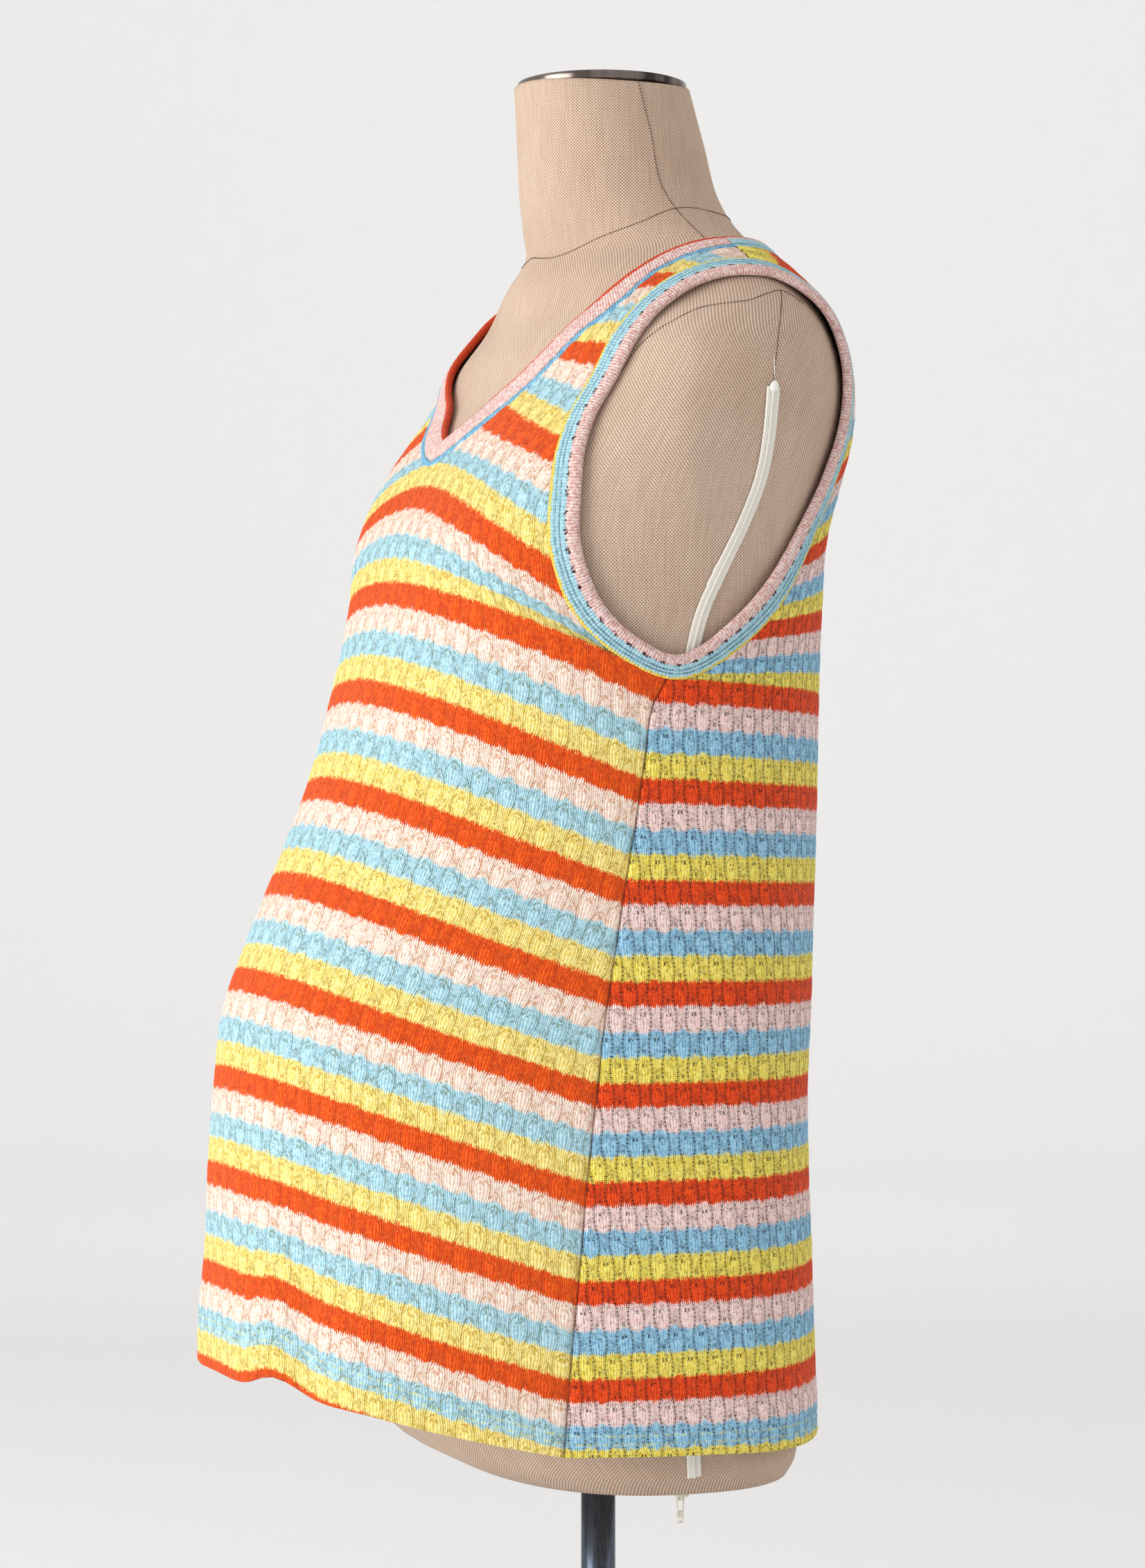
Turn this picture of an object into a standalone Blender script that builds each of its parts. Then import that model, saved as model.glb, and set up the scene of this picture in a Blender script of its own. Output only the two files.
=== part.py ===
"""Striped knit tank top for a mother-to-be, worn by a limbless dress form on a short stand.

Metres, +Z up, the wearer faces -Y. The origin is the centre of the stand's underside.
Cloth and form are lofts through horizontal sections. A section is a rounded ellipse with its
own half width, front depth, back depth, middle and squareness. A place on the cloth is given
by its angle from the centre front, towards the wearer's left, and its height.
"""

import math

import bmesh
import bpy
import numpy as np

# Columns: height, half width, front depth, back depth, middle Y, front and back squareness.
FORM_SECTIONS = (
    (0.259, 0.137, 0.094, 0.086, 0.010, 2.50, 2.20),
    (0.268, 0.149, 0.108, 0.092, 0.006, 2.40, 2.20),
    (0.285, 0.156, 0.127, 0.094, 0.003, 2.10, 2.20),
    (0.310, 0.160, 0.162, 0.094, 0.000, 2.10, 2.20),
    (0.345, 0.162, 0.196, 0.093, 0.000, 2.10, 2.20),
    (0.390, 0.163, 0.2215, 0.092, 0.000, 2.08, 2.20),
    (0.435, 0.162, 0.2247, 0.091, 0.000, 2.02, 2.20),
    (0.480, 0.160, 0.2218, 0.090, 0.000, 2.00, 2.20),
    (0.520, 0.157, 0.2167, 0.089, 0.000, 2.00, 2.20),
    (0.560, 0.154, 0.2018, 0.089, 0.000, 2.00, 2.20),
    (0.600, 0.150, 0.1847, 0.091, 0.000, 2.00, 2.20),
    (0.650, 0.146, 0.1634, 0.095, 0.000, 2.08, 2.20),
    (0.700, 0.145, 0.1473, 0.100, 0.000, 2.20, 2.20),
    (0.750, 0.148, 0.1358, 0.102, 0.003, 2.40, 2.30),
    (0.790, 0.156, 0.1304, 0.100, 0.008, 2.70, 2.39),
    (0.820, 0.163, 0.1197, 0.100, 0.014, 2.90, 2.40),
    (0.845, 0.168, 0.1096, 0.100, 0.019, 2.60, 2.40),
    (0.870, 0.170, 0.0992, 0.092, 0.026, 2.45, 2.40),
    (0.895, 0.165, 0.0946, 0.084, 0.031, 2.25, 2.24),
    (0.917, 0.150, 0.0880, 0.076, 0.035, 1.95, 2.04),
    (0.938, 0.1268, 0.0860, 0.060, 0.037, 1.70, 1.92),
    (0.957, 0.0929, 0.0735, 0.054, 0.033, 1.65, 1.89),
    (0.972, 0.0725, 0.0680, 0.0515, 0.026, 1.90, 2.00),
    (0.988, 0.061, 0.0615, 0.0540, 0.017, 2.00, 2.00),
    (1.021, 0.054, 0.0560, 0.0535, 0.009, 2.00, 2.00),
    (1.054, 0.050, 0.0520, 0.0505, 0.003, 2.00, 2.00),
)
CLOTH_SECTIONS = (
    (0.255, 0.176, 0.2305, 0.1015, 0.000, 2.10, 2.20),
    (0.300, 0.174, 0.2310, 0.1020, 0.000, 2.10, 2.20),
    (0.345, 0.173, 0.2314, 0.1007, 0.000, 2.11, 2.20),
    (0.390, 0.171, 0.2290, 0.1000, 0.000, 2.09, 2.20),
    (0.435, 0.169, 0.2289, 0.0990, 0.000, 2.02, 2.20),
    (0.480, 0.166, 0.2258, 0.1000, 0.000, 2.00, 2.20),
    (0.520, 0.163, 0.2209, 0.1039, 0.000, 2.00, 2.20),
    (0.560, 0.160, 0.2060, 0.1066, 0.000, 2.00, 2.20),
    (0.600, 0.155, 0.1889, 0.1103, 0.000, 2.00, 2.20),
    (0.650, 0.151, 0.1676, 0.1135, 0.000, 2.08, 2.20),
    (0.700, 0.150, 0.1513, 0.1151, 0.000, 2.20, 2.20),
    (0.750, 0.153, 0.1396, 0.1108, 0.003, 2.40, 2.30),
    (0.790, 0.161, 0.1341, 0.1040, 0.008, 2.70, 2.39),
    (0.820, 0.168, 0.1237, 0.1042, 0.014, 2.90, 2.40),
    (0.845, 0.173, 0.1136, 0.1042, 0.019, 2.60, 2.40),
    (0.870, 0.175, 0.1032, 0.0960, 0.026, 2.45, 2.40),
    (0.895, 0.171, 0.0991, 0.0890, 0.031, 2.25, 2.24),
    (0.917, 0.157, 0.0932, 0.0814, 0.035, 1.95, 2.04),
    (0.938, 0.129, 0.0940, 0.0662, 0.037, 1.70, 1.92),
    (0.957, 0.095, 0.0815, 0.0600, 0.033, 1.65, 1.89),
    (0.972, 0.077, 0.0755, 0.0575, 0.026, 1.90, 2.00),
    (0.988, 0.067, 0.0675, 0.0595, 0.017, 2.00, 2.00),
)

# Columns: angle in degrees and height of the folded edge of the neckband, from the V to the nape.
NECK_EDGE = (
    (0.0, 0.8460),
    (5.6, 0.8550),
    (12.0, 0.8690),
    (19.4, 0.8812),
    (26.0, 0.8945),
    (31.8, 0.9095),
    (40.1, 0.9234),
    (51.4, 0.9353),
    (63.4, 0.9449),
    (77.0, 0.9520),
    (90.0, 0.9552),
    (110.0, 0.9570),
    (140.0, 0.9560),
    (180.0, 0.9540),
)
# Columns: angle in degrees and height of the armhole's folded edge, from the underarm forwards.
ARM_EDGE = (
    (82.0, 0.7195),
    (73.5, 0.7285),
    (64.9, 0.7470),
    (58.6, 0.7730),
    (54.2, 0.8028),
    (49.4, 0.8331),
    (47.4, 0.8642),
    (50.6, 0.8930),
    (56.6, 0.9110),
    (65.4, 0.9215),
    (76.0, 0.9280),
    (86.9, 0.9302),
    (97.7, 0.9290),
    (105.0, 0.9255),
    (113.5, 0.9180),
    (120.0, 0.9060),
    (123.3, 0.8860),
    (124.0, 0.8600),
    (122.6, 0.8330),
    (119.8, 0.8106),
    (113.2, 0.7813),
    (104.5, 0.7560),
    (92.9, 0.7335),
)
# Columns: angle in degrees and height of the side seam, from the hem to the underarm.
SIDE_SEAM = (
    (67.2, 0.2895),
    (70.5, 0.4287),
    (73.0, 0.5145),
    (74.3, 0.5690),
    (76.3, 0.6332),
    (77.2, 0.6650),
    (78.5, 0.6940),
    (81.0, 0.7075),
)
# Columns: angle in degrees and height of the seam that joins the neckband to the panels.
NECK_SEAM = (
    (0.0, 0.8310),
    (5.0, 0.8350),
    (12.1, 0.8455),
    (20.7, 0.8638),
    (28.4, 0.8826),
    (38.8, 0.9059),
    (54.9, 0.9300),
    (74.0, 0.9435),
    (90.0, 0.9487),
    (110.0, 0.9505),
    (140.0, 0.9485),
    (180.0, 0.9465),
)
# The next two tables match places on a panel's inner edge with places on its outer edge, course
# by course. An inner station from 0 to 1 climbs the centre line and from 1 to 2 follows the neck
# seam. An outer station from 0 to 1 climbs the side seam and from 1 to 2 follows the armhole.
# The pattern heights are measured on the flat knit, from the hem at the side seam.
# Columns: inner station, inner pattern height, outer station, outer pattern height.
FRONT_COURSES = (
    (0.0000, -0.0155, 0.0000, 0.0000),
    (0.1180, 0.0455, 0.0993, 0.0455),
    (0.2282, 0.0995, 0.2244, 0.0995),
    (0.4402, 0.2075, 0.4758, 0.2075),
    (0.6500, 0.3155, 0.7372, 0.3155),
    (0.8676, 0.4235, 1.0000, 0.4235),
    (0.9745, 0.4775, 1.2900, 0.4775),
    (1.0000, 0.4910, 1.3450, 0.4910),
    (1.3000, 0.5315, 1.5000, 0.5315),
    (1.5300, 0.5855, 1.6900, 0.5855),
    (1.7800, 0.6395, 1.8700, 0.6395),
    (2.0000, 0.6800, 2.0000, 0.6800),
)
BACK_COURSES = (
    (0.0000, 0.0000, 0.0000, 0.0000),
    (0.0720, 0.0455, 0.0993, 0.0455),
    (0.1510, 0.0995, 0.2244, 0.0995),
    (0.3080, 0.2075, 0.4758, 0.2075),
    (0.4670, 0.3155, 0.7372, 0.3155),
    (0.6280, 0.4235, 1.0000, 0.4235),
    (0.7090, 0.4775, 1.2200, 0.4775),
    (0.7890, 0.5315, 1.3800, 0.5315),
    (0.8700, 0.5855, 1.5300, 0.5815),
    (0.9410, 0.6355, 1.6400, 0.6200),
    (1.0000, 0.6770, 1.7100, 0.6440),
    (1.2500, 0.6800, 1.7800, 0.6580),
    (1.5300, 0.6860, 1.8600, 0.6770),
    (1.8200, 0.6950, 1.9400, 0.6930),
    (2.0000, 0.7015, 2.0000, 0.7015),
)
# Columns: angle in degrees, spread in degrees, height where the fold ends, push outwards and
# lift along the body at the hem.
FOLDS = (
    (13.0, 8.0, 0.450, 0.0020, 0.0000),
    (20.5, 5.0, 0.450, 0.0010, 0.0085),
    (26.5, 5.5, 0.470, -0.0060, 0.0000),
    (38.0, 9.0, 0.430, 0.0020, 0.0020),
    (150.0, 14.0, 0.520, 0.0020, 0.0000),
)
# Columns: height and angle in degrees of the zip along the form's left side, from its hem end up.
ZIP_LINE = (
    (0.270, 83.0),
    (0.300, 84.4),
    (0.500, 85.4),
    (0.700, 86.4),
    (0.7558, 88.6),
    (0.7806, 91.2),
    (0.8009, 95.1),
    (0.8247, 96.6),
    (0.844, 95.4),
    (0.864, 92.7),
)

CLOTH_THICKNESS = 0.0016
HEM_DEPTH = 0.0245
HEM_THICKNESS = 0.0022
BAND_THICKNESS = 0.0026
ARM_BAND_WIDTH = 0.0165
UNDERARM_BAND_WIDTH = 0.0130
SEAM_GAP = 0.0005
CENTRE_HEM_FRONT = 0.321
CENTRE_HEM_BACK = 0.2825
UNDERARM_TURN = 81.0
SHOULDER_TURN = 90.0
# Below this height a fold has its whole size.
FOLD_BOTTOM = 0.30
# The armhole band grows from its underarm width over this height, from this height up.
UNDERARM_TOP = 0.722
UNDERARM_RISE = 0.035
# Parts of the armhole's line where its underarm and its shoulder are looked for.
UNDERARM_BELOW = 0.80
SHOULDER_ABOVE = 0.92
ARM_LINE_COUNT = 480
NECK_LINE_COUNT = 600
# Share of a neck seam's length over which the courses go from arched to straight.
STRAIGHTENING = 0.25
# Distances from the axis that turn a gap at a seam into an angle.
SIDE_REACH = 0.160
SHOULDER_REACH = 0.115
NECK_SEAM_REACH = 0.110
NECK_FOLD_REACH = 0.100
COLUMNS = 12
LOWER_ROW_STEP = 0.027
UPPER_ROW_STEP = 0.0135
HEM_STEP = 0.003
# A band's thickness follows a sine from one edge to the other, cut off at its full thickness.
BAND_FULLNESS = 1.25
BAND_EDGE = 0.12
# Shares of a band's width, from its seam to its fold, where its surface bends.
ARM_BAND_STATIONS = (0.0, 0.14, 0.5, 0.88, 1.0)
NECK_BAND_STATIONS = (0.0, 0.2, 0.8, 1.0)
NECK_BAND_START = 0.05
FORM_ROUND = 44
# The form's ends. Columns: middle Y, share of the last section, depth of the rounding.
FORM_TOP = (0.003, 0.97, 0.0012)
FORM_FOOT = (0.014, 0.95, 0.0025)
LONG_STEP = 0.03
ZIP_WIDTH = 0.008
ZIP_THICKNESS = 0.001
ZIP_LIFT = 0.0005
ZIP_ENDS = (0.272, 0.864)
ZIP_END_STEP = 0.003
CAP_BOTTOM = 1.0544
CAP_SHARE = 0.965
CAP_ROUND = 36
# Columns: share of the cap's size and height.
CAP_PROFILE = ((0.985, 0.0), (1.0, 0.0006), (1.0, 0.0022), (0.985, 0.003))
POLE_RADIUS = 0.010
POLE_ROUND = 24
POLE_GAP = 0.0003
BASE_ROUND = 64
# Columns: radius and height.
BASE_PROFILE = (
    (0.148, 0.000),
    (0.150, 0.002),
    (0.150, 0.0085),
    (0.1485, 0.010),
    (0.023, 0.010),
    (0.0205, 0.0115),
    (0.0190, 0.030),
    (0.0175, 0.0315),
)
SLIDER_SPOT = (0.1265, -0.0055)
SLIDER_SIZE = (0.0090, 0.0062, 0.0022)
BAIL_HOLE = 0.0010
BAIL_WALL = 0.0009
BAIL_WIDTH = 0.0012
BAIL_ROUND = 16
PULL_ROUND = 24
PULL_BAR = 0.00055
PULL_DROP = 0.0140
PULL_CROWN = 0.0006
PULL_TOP_HALF_WIDTH = 0.001995
PULL_FOOT_SPREAD = 0.00105
PULL_HOLE_HALF_WIDTH = 0.00125
PULL_HOLE_DROP = 0.0052

COLOURS = {
    "knit": (0.80, 0.33, 0.22, 1.0),
    "band": (0.86, 0.62, 0.62, 1.0),
    "armband": (0.62, 0.66, 0.76, 1.0),
    "linen": (0.50, 0.36, 0.25, 1.0),
    "steel": (0.10, 0.10, 0.12, 1.0),
    "cap": (0.32, 0.30, 0.29, 1.0),
    "tape": (0.80, 0.77, 0.68, 1.0),
    "pull": (0.72, 0.68, 0.58, 1.0),
}


def curve_through(xs, ys, x):
    """The smooth curve through the points (xs, ys), read at x."""
    xs, ys, x = (np.asarray(v, float) for v in (xs, ys, x))
    slopes = np.gradient(ys, xs)
    i = np.clip(np.searchsorted(xs, x, side="right") - 1, 0, len(xs) - 2)
    step = xs[i + 1] - xs[i]
    s = np.clip((x - xs[i]) / step, 0, 1)
    rise = (1 + 2 * s) * (1 - s) ** 2 * ys[i] + s * s * (3 - 2 * s) * ys[i + 1]
    return rise + step * s * (1 - s) * ((1 - s) * slopes[i] - s * slopes[i + 1])


def on_section(table, angle, height, out=0.0):
    """The place on a loft at an angle and a height, pushed out sideways by a distance."""
    rows = np.asarray(table, float)
    angle, height = np.broadcast_arrays(np.asarray(angle, float), np.asarray(height, float))
    width, front, back, middle, square_f, square_b = (
        curve_through(rows[:, 0], rows[:, k], height) for k in range(1, 7)
    )
    s, c = np.sin(angle), np.cos(angle)
    depth = np.where(c > 0, front, back)
    square = np.where(c > 0, square_f, square_b)
    reach = (np.abs(s) ** square + np.abs(c) ** square) ** (-1 / square)
    across = (width + out) * s * reach
    along = middle - (depth + out) * c * reach
    return np.stack([across, along, height], axis=-1)


def fold_shape(angle, height):
    """How far the soft folds push the cloth outwards and lift it at a place."""
    turn = np.degrees(np.abs(angle))
    push = np.zeros(np.broadcast(turn, height).shape)
    lift = np.zeros(push.shape)
    for middle, spread, top, depth, climb in FOLDS:
        fade = np.clip((top - height) / (top - FOLD_BOTTOM), 0, 1)
        fade = fade * fade * (3 - 2 * fade) * np.exp(-(((turn - middle) / spread) ** 2))
        push = push + depth * fade
        lift = lift + climb * fade
    return push, lift


def on_cloth(angle, height):
    """The place on the cloth's inner face."""
    return on_section(CLOTH_SECTIONS, angle, height, fold_shape(angle, height)[0])


def on_form(angle, height):
    """The place on the dress form."""
    return on_section(FORM_SECTIONS, angle, height)


def slopes_of(surface, angle, height):
    """How the surface moves with the angle and with the height."""
    step = 1e-4
    by_angle = (surface(angle + step, height) - surface(angle - step, height)) / (2 * step)
    by_height = (surface(angle, height + step) - surface(angle, height - step)) / (2 * step)
    return by_angle, by_height


def lifted(surface, angle, height, lift):
    """The place a distance off the surface, square to it."""
    by_angle, by_height = slopes_of(surface, angle, height)
    normal = np.cross(by_angle, by_height)
    normal /= np.linalg.norm(normal, axis=-1, keepdims=True)
    return surface(angle, height) + normal * np.asarray(lift)[..., None]


def sideways(surface, angle, height, closed=False):
    """The direction in the surface, square to a path, on the right of someone walking along it."""
    place = surface(angle, height)
    if closed:
        along = np.roll(place, -1, axis=0) - np.roll(place, 1, axis=0)
    else:
        along = np.gradient(place, axis=0)
    by_angle, by_height = slopes_of(surface, angle, height)
    side = np.cross(along, np.cross(by_angle, by_height))
    return side / np.linalg.norm(side, axis=-1, keepdims=True)


def moved(surface, angle, height, distance, closed=False, steps=6):
    """A path moved sideways within the surface, in small steps so that it stays on it."""
    for _ in range(steps):
        side = sideways(surface, angle, height, closed) * distance / steps
        by_angle, by_height = slopes_of(surface, angle, height)
        aa = (by_angle * by_angle).sum(-1)
        hh = (by_height * by_height).sum(-1)
        ah = (by_angle * by_height).sum(-1)
        sa = (side * by_angle).sum(-1)
        sh = (side * by_height).sum(-1)
        whole = aa * hh - ah * ah
        angle = angle + (sa * hh - sh * ah) / whole
        height = height + (sh * aa - sa * ah) / whole
    return angle, height


def way_along(place):
    """Distances along a line of places, from its first one."""
    return np.concatenate([[0], np.cumsum(np.linalg.norm(np.diff(place, axis=0), axis=1))])


def smooth_line(table, count, closed=False):
    """A smooth line of many places through a table of angles in degrees and heights."""
    rows = np.asarray(table, float)
    angles, heights = np.radians(rows[:, 0]), rows[:, 1]
    if closed:
        angles = np.concatenate([angles[-3:], angles, angles[:3]])
        heights = np.concatenate([heights[-3:], heights, heights[:3]])
    way = way_along(on_cloth(angles, heights))
    first, last = (way[3], way[-3]) if closed else (way[0], way[-1])
    at = np.linspace(first, last, count, endpoint=not closed)
    return curve_through(way, angles, at), curve_through(way, heights, at)


def evenly(angle, height, share):
    """Places at shares from 0 to 1 of the length of a line on the cloth."""
    way = way_along(on_cloth(angle, height))
    return (
        np.interp(share, way / way[-1], angle),
        np.interp(share, way / way[-1], height),
    )


def armhole_lines():
    """The armhole's folded edge and its seam, matched place by place, from the underarm round."""
    fold_angle, fold_height = smooth_line(ARM_EDGE, ARM_LINE_COUNT, closed=True)
    # The band narrows under the arm.
    grow = np.clip((fold_height - UNDERARM_TOP) / UNDERARM_RISE, 0, 1)
    width = UNDERARM_BAND_WIDTH + (ARM_BAND_WIDTH - UNDERARM_BAND_WIDTH) * grow
    seam_angle, seam_height = moved(
        on_cloth, fold_angle, fold_height, -width[:, None], closed=True
    )
    # The underarm is the place where the seam crosses the side seam, low down.
    low = seam_height < UNDERARM_BELOW
    start = int(np.argmin(np.where(low, np.abs(seam_angle - math.radians(UNDERARM_TURN)), 9)))
    turn = [np.roll(v, -start) for v in (fold_angle, fold_height, seam_angle, seam_height)]
    high = turn[3] > SHOULDER_ABOVE
    top = int(np.argmin(np.where(high, np.abs(turn[2] - math.radians(SHOULDER_TURN)), 9)))
    return turn, top


def arm_branch(back):
    """The armhole's seam and fold from the underarm to the shoulder, by the front or the back."""
    lines, top = armhole_lines()
    if back:
        return [np.concatenate([v[:1], v[:top - 1:-1]]) for v in lines]
    return [v[:top + 1] for v in lines]


def neck_branch(back):
    """The neck's seam and folded edge from the centre to the shoulder."""
    wanted = []
    for table in (NECK_SEAM, NECK_EDGE):
        angle, height = smooth_line(table, NECK_LINE_COUNT)
        keep = angle >= math.radians(SHOULDER_TURN) - 1e-6
        keep = keep if back else ~keep
        angle, height = angle[keep], height[keep]
        if back:
            angle, height = angle[::-1], height[::-1]
        wanted += [angle, height]
    return wanted


def edge_places(back, inner, outer):
    """The places of a panel's inner and outer stations."""
    seam_angle, seam_height, _, _ = neck_branch(back)
    centre = math.pi if back else 0.0
    hem = CENTRE_HEM_BACK if back else CENTRE_HEM_FRONT
    climb = hem + np.clip(inner, 0, 1) * (seam_height[0] - hem)
    neck = evenly(seam_angle, seam_height, np.clip(inner - 1, 0, 1))
    inner_angle = np.where(inner <= 1, centre, neck[0])
    inner_height = np.where(inner <= 1, climb, neck[1])
    _, _, arm_angle, arm_height = arm_branch(back)
    side = np.asarray(SIDE_SEAM, float)
    side[-1] = (math.degrees(arm_angle[0]), arm_height[0])
    climb = side[0, 1] + np.clip(outer, 0, 1) * (side[-1, 1] - side[0, 1])
    arm = evenly(arm_angle, arm_height, np.clip(outer - 1, 0, 1))
    outer_angle = np.where(
        outer <= 1, np.radians(curve_through(side[:, 1], side[:, 0], climb)), arm[0]
    )
    outer_height = np.where(outer <= 1, climb, arm[1])
    return inner_angle, inner_height, outer_angle, outer_height


def courses(back):
    """A panel's table of courses, and the pattern heights of its underarm and neck corners."""
    table = np.asarray(BACK_COURSES if back else FRONT_COURSES)
    underarm = table[:, 3][np.argmin(np.abs(table[:, 2] - 1))]
    neck = table[:, 3][np.argmin(np.abs(table[:, 0] - 1))]
    return table, underarm, neck


def panel_rows(back):
    """Pattern heights at the outer edge of the rows of a panel, from the hem to the shoulder."""
    table, underarm, neck = courses(back)
    steps = round(underarm / LOWER_ROW_STEP)
    lower = np.arange(2, steps) * underarm / steps
    count = round((neck - underarm) / UPPER_ROW_STEP)
    middle = np.linspace(underarm, neck, count + 1)[:-1]
    # The back's neck is long for its few courses, so its rows lie twice as close.
    step = 0.5 * UPPER_ROW_STEP if back else UPPER_ROW_STEP
    upper = np.linspace(neck, table[-1, 3], round((table[-1, 3] - neck) / step) + 1)
    hem = [0, 0.5 * HEM_DEPTH, HEM_DEPTH, HEM_DEPTH + HEM_STEP]
    return np.concatenate([hem, lower, middle, upper])


def panel_grid(back, rows, columns):
    """Angles, heights and pattern heights of half a panel, centre first."""
    table, _, _ = courses(back)
    inner = np.interp(rows, table[:, 3], table[:, 0])
    outer = np.interp(rows, table[:, 3], table[:, 2])
    pattern = np.interp(rows, table[:, 3], table[:, 1])
    inner_angle, inner_height, outer_angle, outer_height = edge_places(back, inner, outer)
    share = np.linspace(0, 1, columns)[None, :]
    # Courses arch like a cosine under the neck and run straight across the strap.
    straight = np.clip((inner - 1) / STRAIGHTENING, 0, 1)[:, None]
    bend = (1 - straight) * np.cos(share * math.pi / 2) + straight * (1 - share)
    angle = inner_angle[:, None] * (1 - share) + outer_angle[:, None] * share
    height = outer_height[:, None] + (inner_height - outer_height)[:, None] * bend
    height = height + fold_shape(angle, height)[1]
    heights = rows[:, None] + (pattern - rows)[:, None] * bend
    return angle, height, heights


def add_object(name, verts, faces, colour, metallic=0.0, rough=0.8):
    """A mesh object with its own plain material, its faces pointing out."""
    mesh = bpy.data.meshes.new(name)
    work = bmesh.new()
    made = [work.verts.new(v) for v in verts]
    for face in faces:
        work.faces.new([made[i] for i in face])
    bmesh.ops.recalc_face_normals(work, faces=work.faces)
    work.to_mesh(mesh)
    work.free()
    thing = bpy.data.objects.new(name, mesh)
    material = bpy.data.materials.new(name)
    material.use_nodes = True
    shader = material.node_tree.nodes["Principled BSDF"]
    shader.inputs["Base Color"].default_value = COLOURS[colour]
    shader.inputs["Metallic"].default_value = metallic
    shader.inputs["Roughness"].default_value = rough
    mesh.materials.append(material)
    SET.objects.link(thing)
    return thing


def slab(inner, outer, loops=False):
    """Corners and faces of the closed solid between two matching grids of places."""
    rows, columns = inner.shape[:2]
    verts = np.concatenate([inner.reshape(-1, 3), outer.reshape(-1, 3)])
    other = rows * columns
    faces = []
    wrap = rows if loops else rows - 1
    for j in range(wrap):
        for i in range(columns - 1):
            a, b = j * columns + i, j * columns + i + 1
            c, d = (j + 1) % rows * columns + i + 1, (j + 1) % rows * columns + i
            faces.append((a, b, c, d))
            faces.append((other + d, other + c, other + b, other + a))
        for i in (0, columns - 1):
            a, d = j * columns + i, (j + 1) % rows * columns + i
            faces.append((a, d, other + d, other + a))
    if not loops:
        for j in (0, rows - 1):
            for i in range(columns - 1):
                a, b = j * columns + i, j * columns + i + 1
                faces.append((a, b, other + b, other + a))
    return verts, faces


def panel(name, back):
    """A whole panel: two mirrored halves that share their centre line under the neck."""
    rows = panel_rows(back)
    angle, height, heights = panel_grid(back, rows, COLUMNS)
    _, _, neck = courses(back)
    shared = int(np.argmin(np.abs(rows - neck)))
    # Each panel stops short of the seam lines by half a gap.
    toward = 1 if back else -1
    angle[:, -1] += toward * 0.5 * SEAM_GAP / SIDE_REACH
    angle[-1, :] += toward * 0.5 * SEAM_GAP / SHOULDER_REACH
    thickness = np.where(heights <= HEM_DEPTH + 1e-6, HEM_THICKNESS, CLOTH_THICKNESS)
    verts, faces, number = [], [], {}

    def corner(j, i, side, layer):
        mirrored = side < 0 and not (i == 0 and j <= shared)
        key = (j, i, mirrored, layer)
        if key not in number:
            lift = thickness[j, i] if layer else 0.0
            spot = lifted(on_cloth, angle[j, i], height[j, i], lift)
            if i == 0 and j <= shared:
                spot[0] = 0.0
            number[key] = len(verts)
            verts.append((-spot[0] if mirrored else spot[0], spot[1], spot[2]))
        return number[key]

    last = len(rows) - 1
    for side in (1, -1):
        for j in range(last):
            for i in range(COLUMNS - 1):
                ring = ((j, i), (j, i + 1), (j + 1, i + 1), (j + 1, i))
                for layer in (0, 1):
                    faces.append([corner(*spot, side, layer) for spot in ring])
        rim = [((0, i), (0, i + 1)) for i in range(COLUMNS - 1)]
        rim += [((last, i), (last, i + 1)) for i in range(COLUMNS - 1)]
        rim += [((j, COLUMNS - 1), (j + 1, COLUMNS - 1)) for j in range(last)]
        rim += [((j, 0), (j + 1, 0)) for j in range(shared, last)]
        for one, two in rim:
            spots = ((one, 0), (two, 0), (two, 1), (one, 1))
            faces.append([corner(*spot, side, layer) for spot, layer in spots])
    return add_object(name, verts, faces, "knit")


def band_section(fold, seam, share):
    """The places across a band, from its seam to its folded edge, with rounded edges."""
    angle = seam[0][:, None] * (1 - share) + fold[0][:, None] * share
    height = seam[1][:, None] * (1 - share) + fold[1][:, None] * share
    rounding = np.sin(math.pi * (BAND_EDGE + (1 - 2 * BAND_EDGE) * share))
    thick = BAND_THICKNESS * np.clip(BAND_FULLNESS * rounding, 0, 1)
    low = 0.5 * BAND_THICKNESS - 0.5 * thick
    inner = lifted(on_cloth, angle, height, low + 0 * height)
    outer = lifted(on_cloth, angle, height, low + thick + 0 * height)
    return inner, outer


def arm_band(name, side):
    """The band round an armhole, in stations that match the rows of both panels."""
    stations = []
    for back in (False, True):
        rows = panel_rows(back)
        table, _, _ = courses(back)
        outer = np.interp(rows, table[:, 3], table[:, 2])
        share = outer[outer >= 1 - 1e-9] - 1
        lines = arm_branch(back)
        way = way_along(on_cloth(lines[2], lines[3]))
        run = np.stack([np.interp(share, way / way[-1], v) for v in lines], axis=-1)
        stations.append(run[::-1][:-1] if back else run[:-1])
    # The shoulder station starts the way back down.
    ring = np.concatenate([stations[0], stations[1]])
    fold = (ring[:, 0], ring[:, 1])
    seam = (ring[:, 2], ring[:, 3])
    start = SEAM_GAP / UNDERARM_BAND_WIDTH
    share = start + np.array(ARM_BAND_STATIONS)[None, :] * (1 - start)
    inner, outer = band_section(fold, seam, share)
    inner[..., 0] *= side
    outer[..., 0] *= side
    verts, faces = slab(inner, outer, loops=True)
    return add_object(name, verts, faces, "armband")


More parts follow.
